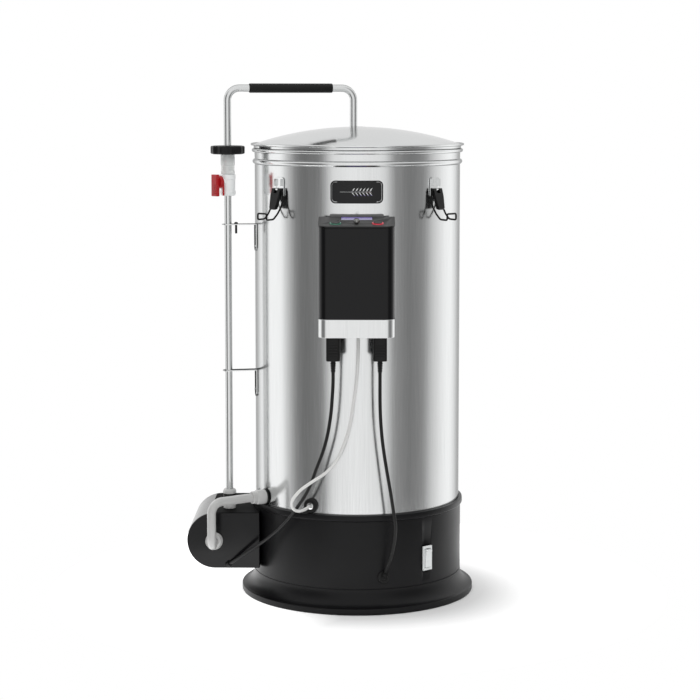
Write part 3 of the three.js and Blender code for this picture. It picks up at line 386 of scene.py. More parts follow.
def roughen(material, principled, value, low, high):
    """Varies the roughness by a noise."""
    ranged = material.node_tree.nodes.new("ShaderNodeMapRange")
    ranged.inputs["From Min"].default_value = 0.3
    ranged.inputs["From Max"].default_value = 0.7
    ranged.inputs["To Min"].default_value = low
    ranged.inputs["To Max"].default_value = high
    material.node_tree.links.new(value, ranged.inputs["Value"])
    material.node_tree.links.new(ranged.outputs["Result"], principled.inputs["Roughness"])


def tint(material, principled, value, dark, light):
    """Varies the base colour between two tones."""
    ramp = material.node_tree.nodes.new("ShaderNodeValToRGB")
    ramp.color_ramp.elements[0].position = 0.3
    ramp.color_ramp.elements[0].color = (*dark, 1)
    ramp.color_ramp.elements[1].position = 0.7
    ramp.color_ramp.elements[1].color = (*light, 1)
    material.node_tree.links.new(value, ramp.inputs["Fac"])
    material.node_tree.links.new(ramp.outputs["Color"], principled.inputs["Base Color"])


def bump(material, principled, value, strength, depth):
    """Raises the surface by a noise, depth in millimetres."""
    node = material.node_tree.nodes.new("ShaderNodeBump")
    node.inputs["Strength"].default_value = strength
    node.inputs["Distance"].default_value = depth * MM
    material.node_tree.links.new(value, node.inputs["Height"])
    material.node_tree.links.new(node.outputs["Normal"], principled.inputs["Normal"])


def polished_steel(name, low, high, glance=0.45):
    """Mirror-like sheet with faint upright polishing marks and a slight sheet wave.

    The glance is how much of its light the metal keeps at a grazing angle.
    """
    material, principled = shader(name, (0.8, 0.81, 0.81), low, 1)
    principled.inputs["Specular Tint"].default_value = (glance, glance, glance, 1)
    marks = grain(material, 60, (14, 14, 0.25), 5)
    roughen(material, principled, marks, low, high)
    tint(material, principled, marks, (0.77, 0.78, 0.78), (0.83, 0.84, 0.84))
    bump(material, principled, grain(material, 5, (1, 1, 0.35), 1), 0.25, 0.5)
    return material


def brushed_steel(name, color, stretch, glance=0.0):
    material, principled = shader(name, color, 0.26, 1)
    principled.inputs["Specular Tint"].default_value = (glance, glance, glance, 1)
    marks = grain(material, 90, stretch, 6)
    roughen(material, principled, marks, 0.12, 0.24)
    tint(material, principled, marks, tuple(c * 0.94 for c in color), color)
    bump(material, principled, marks, 0.06, 0.05)
    return material


def powder_coat(name, color, roughness, peel=0.2):
    """Baked coat with a fine orange peel and small tone changes."""
    material, principled = shader(name, color, roughness)
    principled.inputs["Specular IOR Level"].default_value = 0.2
    soft = grain(material, 9, (1, 1, 1), 3)
    roughen(material, principled, soft, roughness - 0.05, roughness + 0.06)
    bump(material, principled, grain(material, 700), peel, 0.06)
    return material


def moulded(name, color, roughness, texture=0.12, coat=0.0, gleam=0.5):
    """Moulded plastic or rubber with a fine eroded texture."""
    material, principled = shader(name, color, roughness)
    principled.inputs["Specular IOR Level"].default_value = gleam
    principled.inputs["Coat Weight"].default_value = coat
    principled.inputs["Coat Roughness"].default_value = 0.05
    fine = grain(material, 1400, (1, 1, 1), 2)
    roughen(material, principled, grain(material, 25), roughness - 0.04, roughness + 0.05)
    bump(material, principled, fine, texture, 0.03)
    return material


def translucent(name):
    material, principled = shader(name, (0.9, 0.92, 0.91), 0.22)
    principled.inputs["Transmission Weight"].default_value = 0.35
    principled.inputs["IOR"].default_value = 1.45
    bump(material, principled, grain(material, 300), 0.06, 0.05)
    return material


def glowing(name, color, strength, roughness):
    """A lit part behind a smooth clear skin, a little uneven as its lamp is."""
    material, principled = shader(name, color, roughness)
    uneven = grain(material, 40, (1, 1, 1), 2)
    tint(material, principled, uneven, tuple(c * 0.85 for c in color), color)
    principled.inputs["Emission Color"].default_value = (*color, 1)
    principled.inputs["Emission Strength"].default_value = strength
    principled.inputs["Coat Weight"].default_value = 0.6
    return material


def make_materials():
    return {
        "shell": polished_steel("polished_shell", 0.13, 0.2),
        "lid": polished_steel("polished_lid", 0.09, 0.15, 0.85),
        "latch": polished_steel("polished_latch", 0.12, 0.2),
        "pipe": brushed_steel("brushed_pipe", (0.82, 0.83, 0.83), (6, 6, 0.4)),
        "arm": brushed_steel("brushed_arm", (0.77, 0.78, 0.78), (4, 4, 4)),
        "inside": brushed_steel("brushed_inside", (0.7, 0.7, 0.7), (4, 4, 4)),
        "base": powder_coat("base_coat", (0.004, 0.004, 0.0045), 0.36),
        "cap": powder_coat("cap_coat", (0.05, 0.05, 0.05), 0.45, 0.1),
        "saddle": powder_coat("saddle_coat", (0.16, 0.16, 0.16), 0.4, 0.1),
        "knob": brushed_steel("knob_steel", (0.3, 0.3, 0.29), (4, 4, 4)),
        "gloss": moulded("gloss_black", (0.004, 0.004, 0.0045), 0.14, 0.03, 0, 0.25),
        # Painted sheen and painted shade on the pump housing: its one black plastic gets a lighter,
        # glossier copy for the rounded shoulder and a darker, matte copy for the flat top.
        "painted_sheen_shoulder": moulded("painted_sheen_black", (0.02, 0.02, 0.02), 0.1, 0.02, 0, 0.8),
        "flat": moulded("painted_shade_black", (0.005, 0.005, 0.005), 0.6, 0.05, 0, 0.02),
        "black": moulded("matte_black", (0.0055, 0.0055, 0.0055), 0.42, gleam=0.25),
        "rubber": moulded("black_rubber", (0.0055, 0.0055, 0.0055), 0.5, 0.2, gleam=0.25),
        "wire": powder_coat("black_wire", (0.004, 0.004, 0.004), 0.3, 0.05),
        "cord": moulded("cord_sheath", (0.006, 0.006, 0.006), 0.4, 0.1, gleam=0.3),
        "probe": moulded("probe_sheath", (0.68, 0.68, 0.67), 0.4, 0.1),
        "grey": moulded("pipe_grey", (0.43, 0.43, 0.425), 0.22, 0.08, 0.2),
        "white": moulded("white_plastic", (0.87, 0.89, 0.89), 0.3, 0.05),
        "switch": moulded("switch_white", (0.72, 0.74, 0.74), 0.3, 0.05),
        "red": moulded("red_plastic", (0.4, 0.006, 0.01), 0.28, 0.05, 0.15),
        "band": polished_steel("band_satin", 0.14, 0.2),
        "adapter": translucent("clear_adapter"),
        "badge": moulded("badge_dark", (0.008, 0.008, 0.009), 0.25, 0.04, 0, 0.3),
        "display": glowing("display_violet", (0.16, 0.125, 0.36), 0.3, 0.15),
        "green": glowing("green_ring", (0.03, 0.16, 0.1), 0.15, 0.3),
        "red_lamp": glowing("red_ring", (0.5, 0.015, 0.04), 0.4, 0.3),
    }


# -------------------------------------------------------------------- cords

def cord(name, route, diameter, material, exit_body):
    """A curve of one open spline through the route."""
    curve = bpy.data.curves.new(name, "CURVE")
    curve.dimensions = "3D"
    curve.bevel_depth = diameter / 2 * MM
    curve.bevel_resolution = 5
    curve.resolution_u = 10
    curve.use_fill_caps = True
    spline = curve.splines.new("BEZIER")
    spline.bezier_points.add(len(route) - 1)
    for knot, place in zip(spline.bezier_points, route):
        knot.co = Vector(place) * MM
        knot.handle_left_type = "AUTO"
        knot.handle_right_type = "AUTO"
    piece = bpy.data.objects.new(name, curve)
    bpy.context.scene.collection.objects.link(piece)
    curve.materials.append(material)
    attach(piece, exit_body)
    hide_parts(name.replace("_flex", "_cord"))
    return piece


def make_cords(looks):
    flexes = (
        ("pump_flex", PUMP_CORD, 5.0, looks["cord"], "cord_black", "plug", ["pump_plug_moulded"]),
        ("heater_flex", HEATER_CORD, 5.0, looks["cord"], "cord_black", "plug", ["heater_plug_moulded"]),
        ("probe_flex", PROBE_CORD, 4.5, looks["probe"], "cord_grey", "object", []),
    )
    for name, route, diameter, look, slot, far_end, ends in flexes:
        piece = cord(name, route, diameter, look, "brewer")


def make_plugs(looks):
    """Moulded plugs with a ribbed strain relief, pushed up into the control box."""
    for node in ("pump_plug", "heater_plug"):
        low, high = box_mm(node)
        x, y = (low.x + high.x) / 2, (low.y + high.y) / 2
        outline = rounded_rectangle(low.x, high.x, low.y, high.y, 3.5)
        body = bevelled(prism(f"{node}_moulded", outline, low.z + 16, high.z), 1.2)
        apply_modifiers(body)
        relief = [(0, low.z), (3.1, low.z)]
        ribs = 4
        for i in range(ribs):
            base = low.z + 1.2 + i * 3.4
            width = 3.4 + 0.9 * i / ribs
            relief += [(width, base), (width, base + 1.9)]
            relief += [(width - 0.8, base + 2.2), (width - 0.8, base + 3.2)]
        relief += [(6.5, low.z + 16.4), (0, low.z + 16.4)]
        grips = []
        for i in range(4):
            height = low.z + 24 + i * 4
            for side in (-1, 1):
                face = y + side * 8.2
                ridge = rounded_rectangle(x - 6, x + 6, face - 0.7, face + 0.7, 0.6, steps=3)
                grips.append(prism("ridge", ridge, height, height + 1.6))
        relief_piece = lathe("relief", relief, 32, at(x, y))
        dress(joined(body, relief_piece, *grips), looks["black"], "brewer", "black_plastic", node)


# ------------------------------------------------------------------- boiler

def make_boiler(looks):
    inner = BOILER_RADIUS - BOILER_WALL
    bead = arc((BOILER_RADIUS - 0.4, 653.8), 3.7, -62, 62, 10)
    rim = arc((156.5, BOILER_RIM - 2.9), 2.9, -115, 170, 16)
    profile = (
        [(0, BOILER_FLOOR)]
        + arc((147.5, BOILER_FLOOR + 7.5), 7.5, -90, 0, 6)
        + [(BOILER_RADIUS, 649.6)] + bead + [(BOILER_RADIUS, 658)]
        + rim
        + [(inner, BOILER_RIM - 4)]
        + arc((146, BOILER_FLOOR + 9), 7.5, 0, -90, 6)
        + [(0, BOILER_FLOOR + BOILER_WALL)]
    )
    dress(lathe("boiler_skin", profile, 192), looks["shell"], "brewer", "steel_polished", "boiler_shell")
    seam = lathe_strip("boiler_weld", 180, 0.9, BASE_TOP + 2, 648)
    dress(seam, looks["pipe"], "brewer", "steel_polished")


def lathe_strip(name, angle, half_width, low, high):
    """A low upright bead on the boiler's wall, such as its welded seam."""
    outline = arc((0, -BOILER_RADIUS + 0.35), half_width, 200, 340, 6)
    return prism(name, outline, low, high, turned(angle))


def make_badge(looks):
    """A dark plate with a thin bright border and a plain ear of barley."""
    low, high = box_mm("badge_plate")
    plate = curved_plate("badge_panel", high.x, low.z, high.z, 7, WALL_CLEAR, WALL_CLEAR + 1)
    dress(plate, looks["badge"], "brewer", "badge_dark", "badge_plate")
    outline = rounded_rectangle(low.x + 2.2, high.x - 2.2, low.z + 2.2, high.z - 2.2, 5.2)
    border = [on_wall(x, z, WALL_CLEAR + 1.05) for x, z in outline + outline[:1]]
    dress(sweep("badge_border", border, 0.45, 8), looks["latch"], "brewer", "badge_dark")
    middle = (low.z + high.z) / 2
    stem = [on_wall(-24 + 5 * i, middle, WALL_CLEAR + 1.1) for i in range(10)]
    ear = [sweep("barley_ear", stem, 0.35, 8)]
    for i in range(6):
        for side in (-1, 1):
            root = Vector(on_wall(-7 + 5 * i, middle + side * 0.5, WALL_CLEAR + 1.3))
            tip = Vector(on_wall(-2.5 + 5 * i, middle + side * 6, WALL_CLEAR + 1.3))
            ear.append(seed("grain", root, tip))
    dress(joined(*ear), looks["latch"], "brewer", "badge_dark")


def on_wall(x, z, distance):
    """A point at a distance from the boiler's axis, x along its wall from the front."""
    return around(distance, math.degrees(x / BOILER_RADIUS), z)


def seed(name, root, tip):
    """A slim grain from its root to its tip."""
    stations = [0, 0.12, 0.35, 0.6, 0.85, 1]
    widths = [0.05, 0.75, 1.15, 1.05, 0.5, 0.05]
    way = (tip - root).normalized()
    side = way.orthogonal().normalized()
    other = way.cross(side)
    rings = []
    for t, width in zip(stations, widths):
        centre = root.lerp(tip, t)
        turns = [2 * math.pi * i / 8 for i in range(8)]
        rings.append([centre + (side * math.cos(a) + other * math.sin(a)) * width for a in turns])
    return from_rings(name, rings, False)


def curved_plate(name, half, low, high, corner, inner, outer):
    """A rounded rectangle that lies round the boiler's wall."""
    columns = 40
    rings = []
    for i in range(columns + 1):
        x = half * math.sin(math.pi * (i / columns - 0.5))
        over = max(abs(x) - (half - corner), 0)
        inset = corner - math.sqrt(max(corner ** 2 - over ** 2, 0))
        rings.append([
            on_wall(x, low + inset, inner), on_wall(x, high - inset - 0.01, inner),
            on_wall(x, high - inset - 0.01, outer), on_wall(x, low + inset, outer),
        ])
    return bevelled(from_rings(name, rings, False), 0.25, 2)


# --------------------------------------------------------------------- base

def make_base(looks):
    steps = 16
    flare = []
    for i in range(steps + 1):
        a = math.pi / 2 * i / steps
        flare.append((
            FLANGE_RADIUS - 1 - (FLANGE_RADIUS - 1 - BASE_RADIUS) * math.sin(a),
            FLARE_TOP - (FLARE_TOP - FLANGE_LIP) * math.cos(a),
        ))
    foot = (
        [(150, 0)]
        + arc((FLANGE_RADIUS - 1, 1), 1, -90, 0, 4)
        + arc((FLANGE_RADIUS - 1, FLANGE_LIP - 1), 1, 0, 80, 4)
        + flare[1:]
        + [(154.5, FLARE_TOP), (154.5, 27), (155.5, 20), (158.5, 12.5)]
        + [(164, 6.5), (164, 3.2), (150, 3.2), (150, 0)]
    )
    dress(lathe("foot_ring", foot, 192), looks["base"], "brewer", "satin_black", "base_ring")
    collar_low = BASE_TOP - 7.5
    low = FLARE_TOP + 0.3
    inner = BASE_RADIUS - 3.2
    profile = (
        [(inner - 3.2, low - 6), (inner - 0.3, low - 6), (inner - 0.3, low), (BASE_RADIUS - 0.6, low)]
        + [(BASE_RADIUS - 0.6, low + 0.5), (BASE_RADIUS, low + 1), (BASE_RADIUS, collar_low - 2)]
        + arc((BASE_RADIUS + 1.4, collar_low + 0.6), 1.4, -90, 0, 4)
        + arc((158.9, BASE_TOP - 1.4), 1.4, 0, 90, 4)
        + [(WALL_CLEAR, BASE_TOP), (WALL_CLEAR, 117.7), (145, 117.7), (145, 114.5), (inner, 108)]
        + [(inner, low + 3), (inner - 3.2, low), (inner - 3.2, low - 6)]
    )
    skin = lathe("base_skin", profile, 192)
    opening = rounded_rectangle(-7.3, 7.3, -170, -145, 0.5, steps=2)
    hole = prism("hole", opening, 56.1, 88.9, turned(SWITCH_ANGLE))
    dress(cut(skin, hole), looks["base"], "brewer", "satin_black", "base_housing")
    paint(looks["base"], "base_cover")
    paint(looks["inside"], "heater_plate")


def paint(material, *nodes):
    """Gives CAD nodes a material where their own shape shows."""
    for node in nodes:
        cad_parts[node].data.materials.clear()
        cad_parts[node].data.materials.append(material)


def make_switch(looks):
    bezel = refined("switch_frame", "switch_bezel", 0.7)
    dress(bezel, looks["switch"], "brewer", "white_plastic", "switch_bezel")
    rocker = refined("switch_key", "switch_rocker", 0.6)
    dress(rocker, looks["switch"], "rocker", "white_plastic", "switch_rocker")


def make_grommets(looks):
    wall = BASE_RADIUS
    flange = lathe("heater_grommet", [
        (0, 149), (6, 149), (6, wall + 0.4), (8.4, wall + 0.4), (9, wall + 1), (9, wall + 1.6),
        (8.2, wall + 2.6), (5.4, wall + 2.8), (4.8, wall + 2.2), (0, wall + 2.2),
    ], 48, outwards(HEATER_ANGLE, HEATER_Z))
    lead = (Vector(HEATER_CORD[0]) - Vector(HEATER_CORD[1])).normalized()
    start = Vector(HEATER_CORD[0]) + lead * 0.3
    boss = sweep("boss", [start, start + lead * 3, start + lead * 8], 3.9, 24)
    dress(joined(flange, boss), looks["rubber"], "brewer", "black_rubber", "heater_cord_grommet")
    clear = WALL_CLEAR
    probe = lathe("probe_bush", [
        (0, 147), (4, 147), (4, clear), (10.4, clear), (11, clear + 0.6), (11, clear + 2.4),
        (9.6, clear + 4), (6, clear + 4), (5.6, clear + 3.4), (0, clear + 3.4),
    ], 48, outwards(PROBE_ANGLE, PROBE_Z))
    dress(probe, looks["rubber"], "brewer", "black_rubber", "probe_grommet")
    ferrule = lathe("probe_ferrule", [
        (0, clear + 3.2), (4.9, clear + 3.2), (4.9, clear + 3.8), (4.4, clear + 4), (0, clear + 4),
    ], 32, outwards(PROBE_ANGLE, PROBE_Z))
    dress(ferrule, looks["latch"], "brewer", "black_rubber")


# --------------------------------------------------------------------- pump

def make_pump(looks):
    radius = (HOUSING_HIGH.z - HOUSING_LOW.z) / 2
    centre = (HOUSING_LOW.x + radius, HOUSING_LOW.z + radius)
    outline = [(HOUSING_HIGH.x, HOUSING_LOW.z), (HOUSING_HIGH.x, HOUSING_HIGH.z)]
    outline += arc(centre, radius, 90, 270, 48)
    upright = Matrix.Rotation(math.pi / 2, 4, "X")
    shell = prism("pump_cover", outline, -HOUSING_HIGH.y, -HOUSING_LOW.y, upright)
    gap = lathe("gap", [(0, 0), (BASE_RADIUS + 0.4, 0), (BASE_RADIUS + 0.4, 200), (0, 200)], 160)
    dress(bevelled(cut(shell, gap), 1.6), looks["gloss"], "brewer", "gloss_black", "pump_housing")
    # Painted sheen on the rounded shoulder (a lighter, glossier copy of the black) and painted shade on the
    # flat top (a darker, matte copy).
    recoat(shell, looks["painted_sheen_shoulder"], lambda face: abs(face.normal.y) < 0.5 and face.normal.x < -0.03)
    recoat(shell, looks["flat"], lambda face: face.normal.z > 0.98)
    paint(looks["black"], "pump_head", "pump_motor", "pump_impeller")
    lead = (Vector(PUMP_CORD[0]) - Vector(PUMP_CORD[1])).normalized()
    start = Vector(PUMP_CORD[0]) + lead * 0.3
    gland = sweep("pump_cord_bush", [start, start + lead * 1, start + lead * 5.6], 4.1, 24)
    dress(gland, looks["rubber"], "brewer", "black_rubber", "pump_cord_gland")


def make_inlet(looks):
    clear = WALL_CLEAR
    coupling = lathe("inlet_union", [
        (4.5, 146), (7, 146), (7, clear), (10.2, clear + 2), (10.8, clear + 2.6), (10.8, 170.8),
        (10, 172), (9.4, 172.6), (9.4, 178), (8.6, 179), (6.8, 179), (6.8, 164), (4.5, 162), (4.5, 146),
    ], 64, outwards(OUTLET_ANGLE, OUTLET_Z))
    dress(coupling, looks["grey"], "brewer", "pipe_grey", "inlet_coupling")
    ring = lathe("inlet_seal", [
        (7, clear), (11.6, clear), (12, clear + 0.8), (11.6, clear + 1.9), (7, clear + 1.9), (7, clear),
    ], 64, outwards(OUTLET_ANGLE, OUTLET_Z))
    dress(ring, looks["rubber"], "brewer", "black_rubber")
    route = bent([
        around(164.6, OUTLET_ANGLE, OUTLET_Z), around(190, OUTLET_ANGLE, OUTLET_Z),
        (PUMP_AXIS_X, INLET_LEG_Y, OUTLET_Z), (PUMP_AXIS_X, INLET_LEG_Y, PUMP_AXIS_Z),
        (PUMP_AXIS_X, HOUSING_LOW.y - 3, PUMP_AXIS_Z),
    ], 17, 12)
    dress(sweep("inlet_bend", route, 6.5, 32), looks["grey"], "brewer", "pipe_grey", "inlet_pipe")
    front = -HOUSING_LOW.y
    upright = at(PUMP_AXIS_X, 0, PUMP_AXIS_Z) @ Matrix.Rotation(math.pi / 2, 4, "X")
    fitting = lathe("inlet_nut", [
        (4.5, front - 7), (8, front - 7), (8, front + 0.3), (12.4, front + 0.3), (13, front + 0.9),
        (13, front + 2.2), (12.2, front + 2.8), (12.2, front + 3.4), (13, front + 3.9), (13, front + 5.4),
        (11.6, front + 7), (11, front + 9.4), (10.4, front + 10), (6.8, front + 10), (6.8, front + 2.5),
        (4.5, front + 2), (4.5, front - 7),
    ], 64, upright)
    dress(fitting, looks["grey"], "brewer", "pipe_grey", "inlet_fitting")


def make_riser(looks):
    """The fitting on the housing, the riser pipe and its two brackets."""
    top = HOUSING_HIGH.z
    place = at(PIPE_X, PIPE_Y)
    fitting = lathe("outlet_union", [
        (4.2, top - 3.6), (8, top - 3.6), (8, top + 0.3), (9, top + 0.3), (9.4, top + 0.8), (9.4, top + 5),
        (8.6, top + 6.6), (7.6, top + 8), (7.6, 147), (9.2, 147.2), (9.2, 152.8), (9.7, 153), (10.1, 153.5),
        (10.1, 156.6), (8.6, 159.2), (8, 159.7), (5.5, 159.7), (5.5, 141), (4.2, 140), (4.2, top - 3.6),
    ], 48, place)
    dress(fitting, looks["grey"], "brewer", "pipe_grey", "outlet_fitting")
    ring = lathe("outlet_seal", [
        (9, 147.1), (9.6, 147.3), (9.8, 148), (9.8, 152.2), (9.6, 152.9), (9, 153), (9, 147.1),
    ], 48, place)
    dress(ring, looks["rubber"], "brewer", "black_rubber")
    line = [(PIPE_X, PIPE_Y, height) for height in (PIPE_LOW.z, 380, PIPE_HIGH.z)]
    riser = sweep("riser", line, PIPE_RADIUS, 32, 4.2)
    dress(riser, looks["pipe"], "brewer", "steel_brushed", "discharge_pipe")
    for node in ("upper_bracket", "lower_bracket"):
        dress(refined(f"{node}_strap", node, 0.3), looks["pipe"], "brewer", "steel_brushed", node)
    low, high = box_mm("clip_screw")
    head = high.z - 2.8
    screw = lathe("clip_bolt", [
        (0, low.z), (1.4, low.z), (1.7, low.z + 0.5), (1.7, head), (3.1, head), (2.9, head + 1.2),
        (2.2, head + 2.2), (1.2, head + 2.7), (0, head + 2.8),
    ], 32, at((low.x + high.x) / 2, (low.y + high.y) / 2))
    dress(screw, looks["black"], "brewer", "black_metal", "clip_screw")


# -------------------------------------------------------------------- valve

def make_valve(looks):
    place = at(PIPE_X, PIPE_Y) @ turned(-45)
    low, high = VALVE_LOW.z, VALVE_HIGH.z
    body = lathe("valve_casing", [
        (5.6, low), (9.6, low), (10.6, low + 0.6), (11.6, low + 3), (11.6, low + 7), (11, low + 7.6),
        (11, high - 7.6), (11.6, high - 7), (11.6, high - 0.6), (11, high), (4.2, high),
        (4.2, BALL_Z + 7.6), (8.7, BALL_Z), (5.6, BALL_Z - 7), (5.6, low),
    ], 64, place)
    level = place @ at(0, 0, BALL_Z) @ Matrix.Rotation(math.pi / 2, 4, "X")
    boss = lathe("boss", [(3.5, 9), (6, 9), (6, 12.2), (5.6, 12.6), (3.5, 12.6), (3.5, 9)], 32, level)
    dress(joined(body, boss), looks["white"], "brewer", "white_plastic", "valve_body")
    paint(looks["pipe"], "valve_ball")
    hub = lathe("valve_handle", [
        (3.4, 14.6), (8.9, 14.6), (9.6, 15.4), (9.6, 21.6), (3.4, 21.6), (3.4, 14.6),
    ], 48, level)
    across = place @ Matrix(((0, 0, 1, 0), (1, 0, 0, 0), (0, 1, 0, 0), (0, 0, 0, 1)))
    side = rounded_rectangle(-27.5, -21.1, BALL_Z - 21, BALL_Z + 11.4, 1.6, 0.9, 5)
    blade = apply_modifiers(bevelled(prism("blade", side, -6, 6, across), 0.8))
    finger_outline = rounded_rectangle(6.2, 8.4, -16.4, -13.6, 0.7, steps=3)
    finger = prism("finger", finger_outline, BALL_Z - 20, BALL_Z, place)
    strip = rounded_rectangle(-4, 4, -28.0, -27.2, 0.3, steps=2)
    ribs = []
    for i in range(5):
        ribs.append(prism("rib", strip, BALL_Z - 17 + 3 * i, BALL_Z - 15.8 + 3 * i, place))
    dress(joined(hub, blade, finger, *ribs), looks["red"], "valve_handle", "red_plastic", "valve_lever")
    adapter = lathe("adapter_sleeve", [
        (4.2, ADAPTER_LOW.z), (10, ADAPTER_LOW.z), (10.5, ADAPTER_LOW.z + 0.6), (10.5, 640),
        (9.9, 640.6), (9.9, 648.4), (10.5, 649), (10.5, 664), (10, 664.7), (8.8, 664.7),
        (8.8, ADAPTER_HIGH.z), (5.8, ADAPTER_HIGH.z), (5.8, 641), (4.2, 640), (4.2, ADAPTER_LOW.z),
    ], 64, at(PIPE_X, PIPE_Y))
    dress(adapter, looks["adapter"], "brewer", "clear_plastic", "valve_adapter")


# ----------------------------------------------------------------- top arm

def make_arm(looks):
    grip_low, grip_high = box_mm("arm_grip")
    route = bent([
        (PIPE_X, PIPE_Y, 642), (PIPE_X, PIPE_Y, ARM_TOP), (SPOUT_X, 0, ARM_TOP), (SPOUT_X, 0, 668),
    ], ARM_BEND, 14)
    tube = sweep("arm_pipe", route, ARM_RADIUS, 32, ARM_RADIUS - 1)
    dress(tube, looks["arm"], "arm", "steel_brushed", "arm_tube")
    start, end = Vector((PIPE_X, PIPE_Y, ARM_TOP)), Vector((SPOUT_X, 0, ARM_TOP))
    stations = [0.17, 0.172, 0.176, 0.35, 0.5, 0.65, 0.824, 0.828, 0.83]
    radii = [5.9, 6.6, 7, 7, 7, 7, 7, 6.6, 5.9]
    way = (end - start).normalized()
    side = Vector((0, 0, 1))
    other = way.cross(side)
    turns = [2 * math.pi * i / 48 for i in range(48)]
    spokes = [side * math.cos(a) + other * math.sin(a) for a in turns]
    rings = [[start.lerp(end, t) + s * r for s in spokes] for t, r in zip(stations, radii)]
    bore = [[start.lerp(end, t) + s * 5.6 for s in spokes] for t in stations[::-1]]
    sleeve = from_rings("arm_sleeve", rings + bore, True)
    dress(sleeve, looks["rubber"], "arm", "black_rubber", "arm_grip")


def make_nut(looks):
    """The lobed hand nut: rings in the trims follow its lobes, the others are round."""
    low, high = NUT_LOW.z, NUT_HIGH.z
    sides, lobes = 240, 10
    profile = [
        (9.6, low + 0.2), (21, low), (0, low + 0.8), (0, low + 2.2), (0, high - 2.2), (0, high - 0.8),
        (21, high - 0.2), (16, high - 0.3), (6.2, high - 0.3), (6.2, high - 5), (9.6, high - 5),
    ]
    trims = {2: -0.9, 3: 0.0, 4: 0.0, 5: -0.9}
    rings = []
    for index, (radius, height) in enumerate(profile):
        ring = []
        for i in range(sides):
            a = 2 * math.pi * i / sides
            lobe = 24.6 + 0.9 * math.cos(lobes * a)
            reach = lobe + trims[index] if index in trims else radius
            ring.append((reach * math.cos(a), reach * math.sin(a), height))
        rings.append(ring)
    nut = from_rings("arm_hand_nut", rings, True, at(PIPE_X, PIPE_Y))
    dress(nut, looks["black"], "nut", "black_plastic", "arm_nut")


def make_lid(looks):
    hole, edge, rise_z, apex = 12.0, 150.0, 681.5, 705.3
    rise = apex - rise_z
    sphere = (edge ** 2 + rise ** 2) / (2 * rise)
    height = lambda r, drop: apex - drop - sphere + math.sqrt(sphere ** 2 - r ** 2)
    steps = 28
    radii = [hole + (edge - hole) * i / steps for i in range(steps + 1)]
    top = [(r, height(r, 0)) for r in radii]
    under = [(r, height(r, 1.2)) for r in reversed(radii)]
    profile = (
        top + [(152.5, 680.7), (155, 680.1), (157, 680.4)]
        + arc((159.2, 679.3), 1.8, 110, -100, 10)
        + [(156.5, 677), (156.5, 673.9), (156, 673.6), (153.2, 673.6), (152.8, 673.2)]
        + [(152.8, 667.4), (152.4, 667), (151.6, 667)]
        + under + [top[0]]
    )
    dome = dress(lathe("lid_dome", profile, 192), looks["lid"], "lid", "steel_polished", "lid")
    recoat(dome, looks["shell"], lambda face: math.hypot(face.center.x, face.center.y) > 155.5 * MM)


# ------------------------------------------------------------------ latches

def make_latch(looks, name, angle):
    plate = refined(f"catch_plate_{name}", f"latch_plate_{name}", 0.4)
    dress(plate, looks["latch"], "brewer", "steel_polished", f"latch_plate_{name}")
    lever = refined(f"catch_lever_{name}", f"latch_lever_{name}", 0.8)
    dress(lever, looks["black"], f"lever_{name}", "black_plastic", f"latch_lever_{name}")
    side = [
        (6.7, -160, 613), (11.2, -160, 613), (11.1, -158.9, 600), (10.7, -162.5, 590),
        (10.1, -168.5, 580.5), (9.7, -176, 573), (9.7, -189, 572.5), (9.7, -189, 581.5),
    ]
    corners = side + [(-x, y, z) for x, y, z in reversed(side)]
    wire = sweep(f"catch_bail_{name}", bent_gently(corners), 1.35, 12)
    wire.data.transform(turned(angle))
    dress(wire, looks["wire"], f"bail_{name}", "black_metal", f"latch_bail_{name}")


def bent_gently(corners):
    """Rounds each corner of a wire by a small arc that fits its shorter side."""
    points = [Vector(corners[0])]
    for before, corner, after in zip(corners, corners[1:], corners[2:]):
        before, corner, after = Vector(before), Vector(corner), Vector(after)
        reach = min((before - corner).length, (after - corner).length) * 0.35
        reach = min(reach, 2.6)
        start = corner + (before - corner).normalized() * reach
        end = corner + (after - corner).normalized() * reach
        for k in range(6):
            t = k / 5
            points.append(start.lerp(corner, t).lerp(corner.lerp(end, t), t))
    points.append(Vector(corners[-1]))
    return points


# -------------------------------------------------------------- control box

def cap_height(depth=0):
    """Height of the sloping top over a point, less a depth square to it."""
    rise = math.tan(CAP_SLOPE)
    return lambda x, y: CAP_BACK_Z - (BOX_BACK - y) * rise - depth / math.cos(CAP_SLOPE)


def panel():
    """The frame of the sloping panel: its Z is square to the panel, its origin at the back edge."""
    return at(0, BOX_BACK, CAP_BACK_Z) @ Matrix.Rotation(CAP_SLOPE, 4, "X")


def make_control_box(looks):
    bracket = refined("box_saddle", "control_bracket", 0.6)
    dress(bracket, looks["saddle"], "brewer", "black_plastic", "control_bracket")
    outline = rounded_rectangle(-BOX_WIDTH / 2, BOX_WIDTH / 2, BOX_FRONT, BOX_BACK, 13.4, 2, 14)
    body = prism("box_body", outline, BAND_HIGH.z + 0.3, cap_height(3.3))
    dress(bevelled(body, 0.5, 2), looks["gloss"], "brewer", "gloss_black", "control_body")
    outline = rounded_rectangle(-CAP_WIDTH / 2, CAP_WIDTH / 2, CAP_FRONT, BOX_BACK, 14, 2, 14)
    band = prism("box_band", outline, BAND_LOW.z, BAND_HIGH.z)
    dress(bevelled(band, 0.8), looks["band"], "brewer", "band_aluminium", "control_band")
    make_cap(looks)


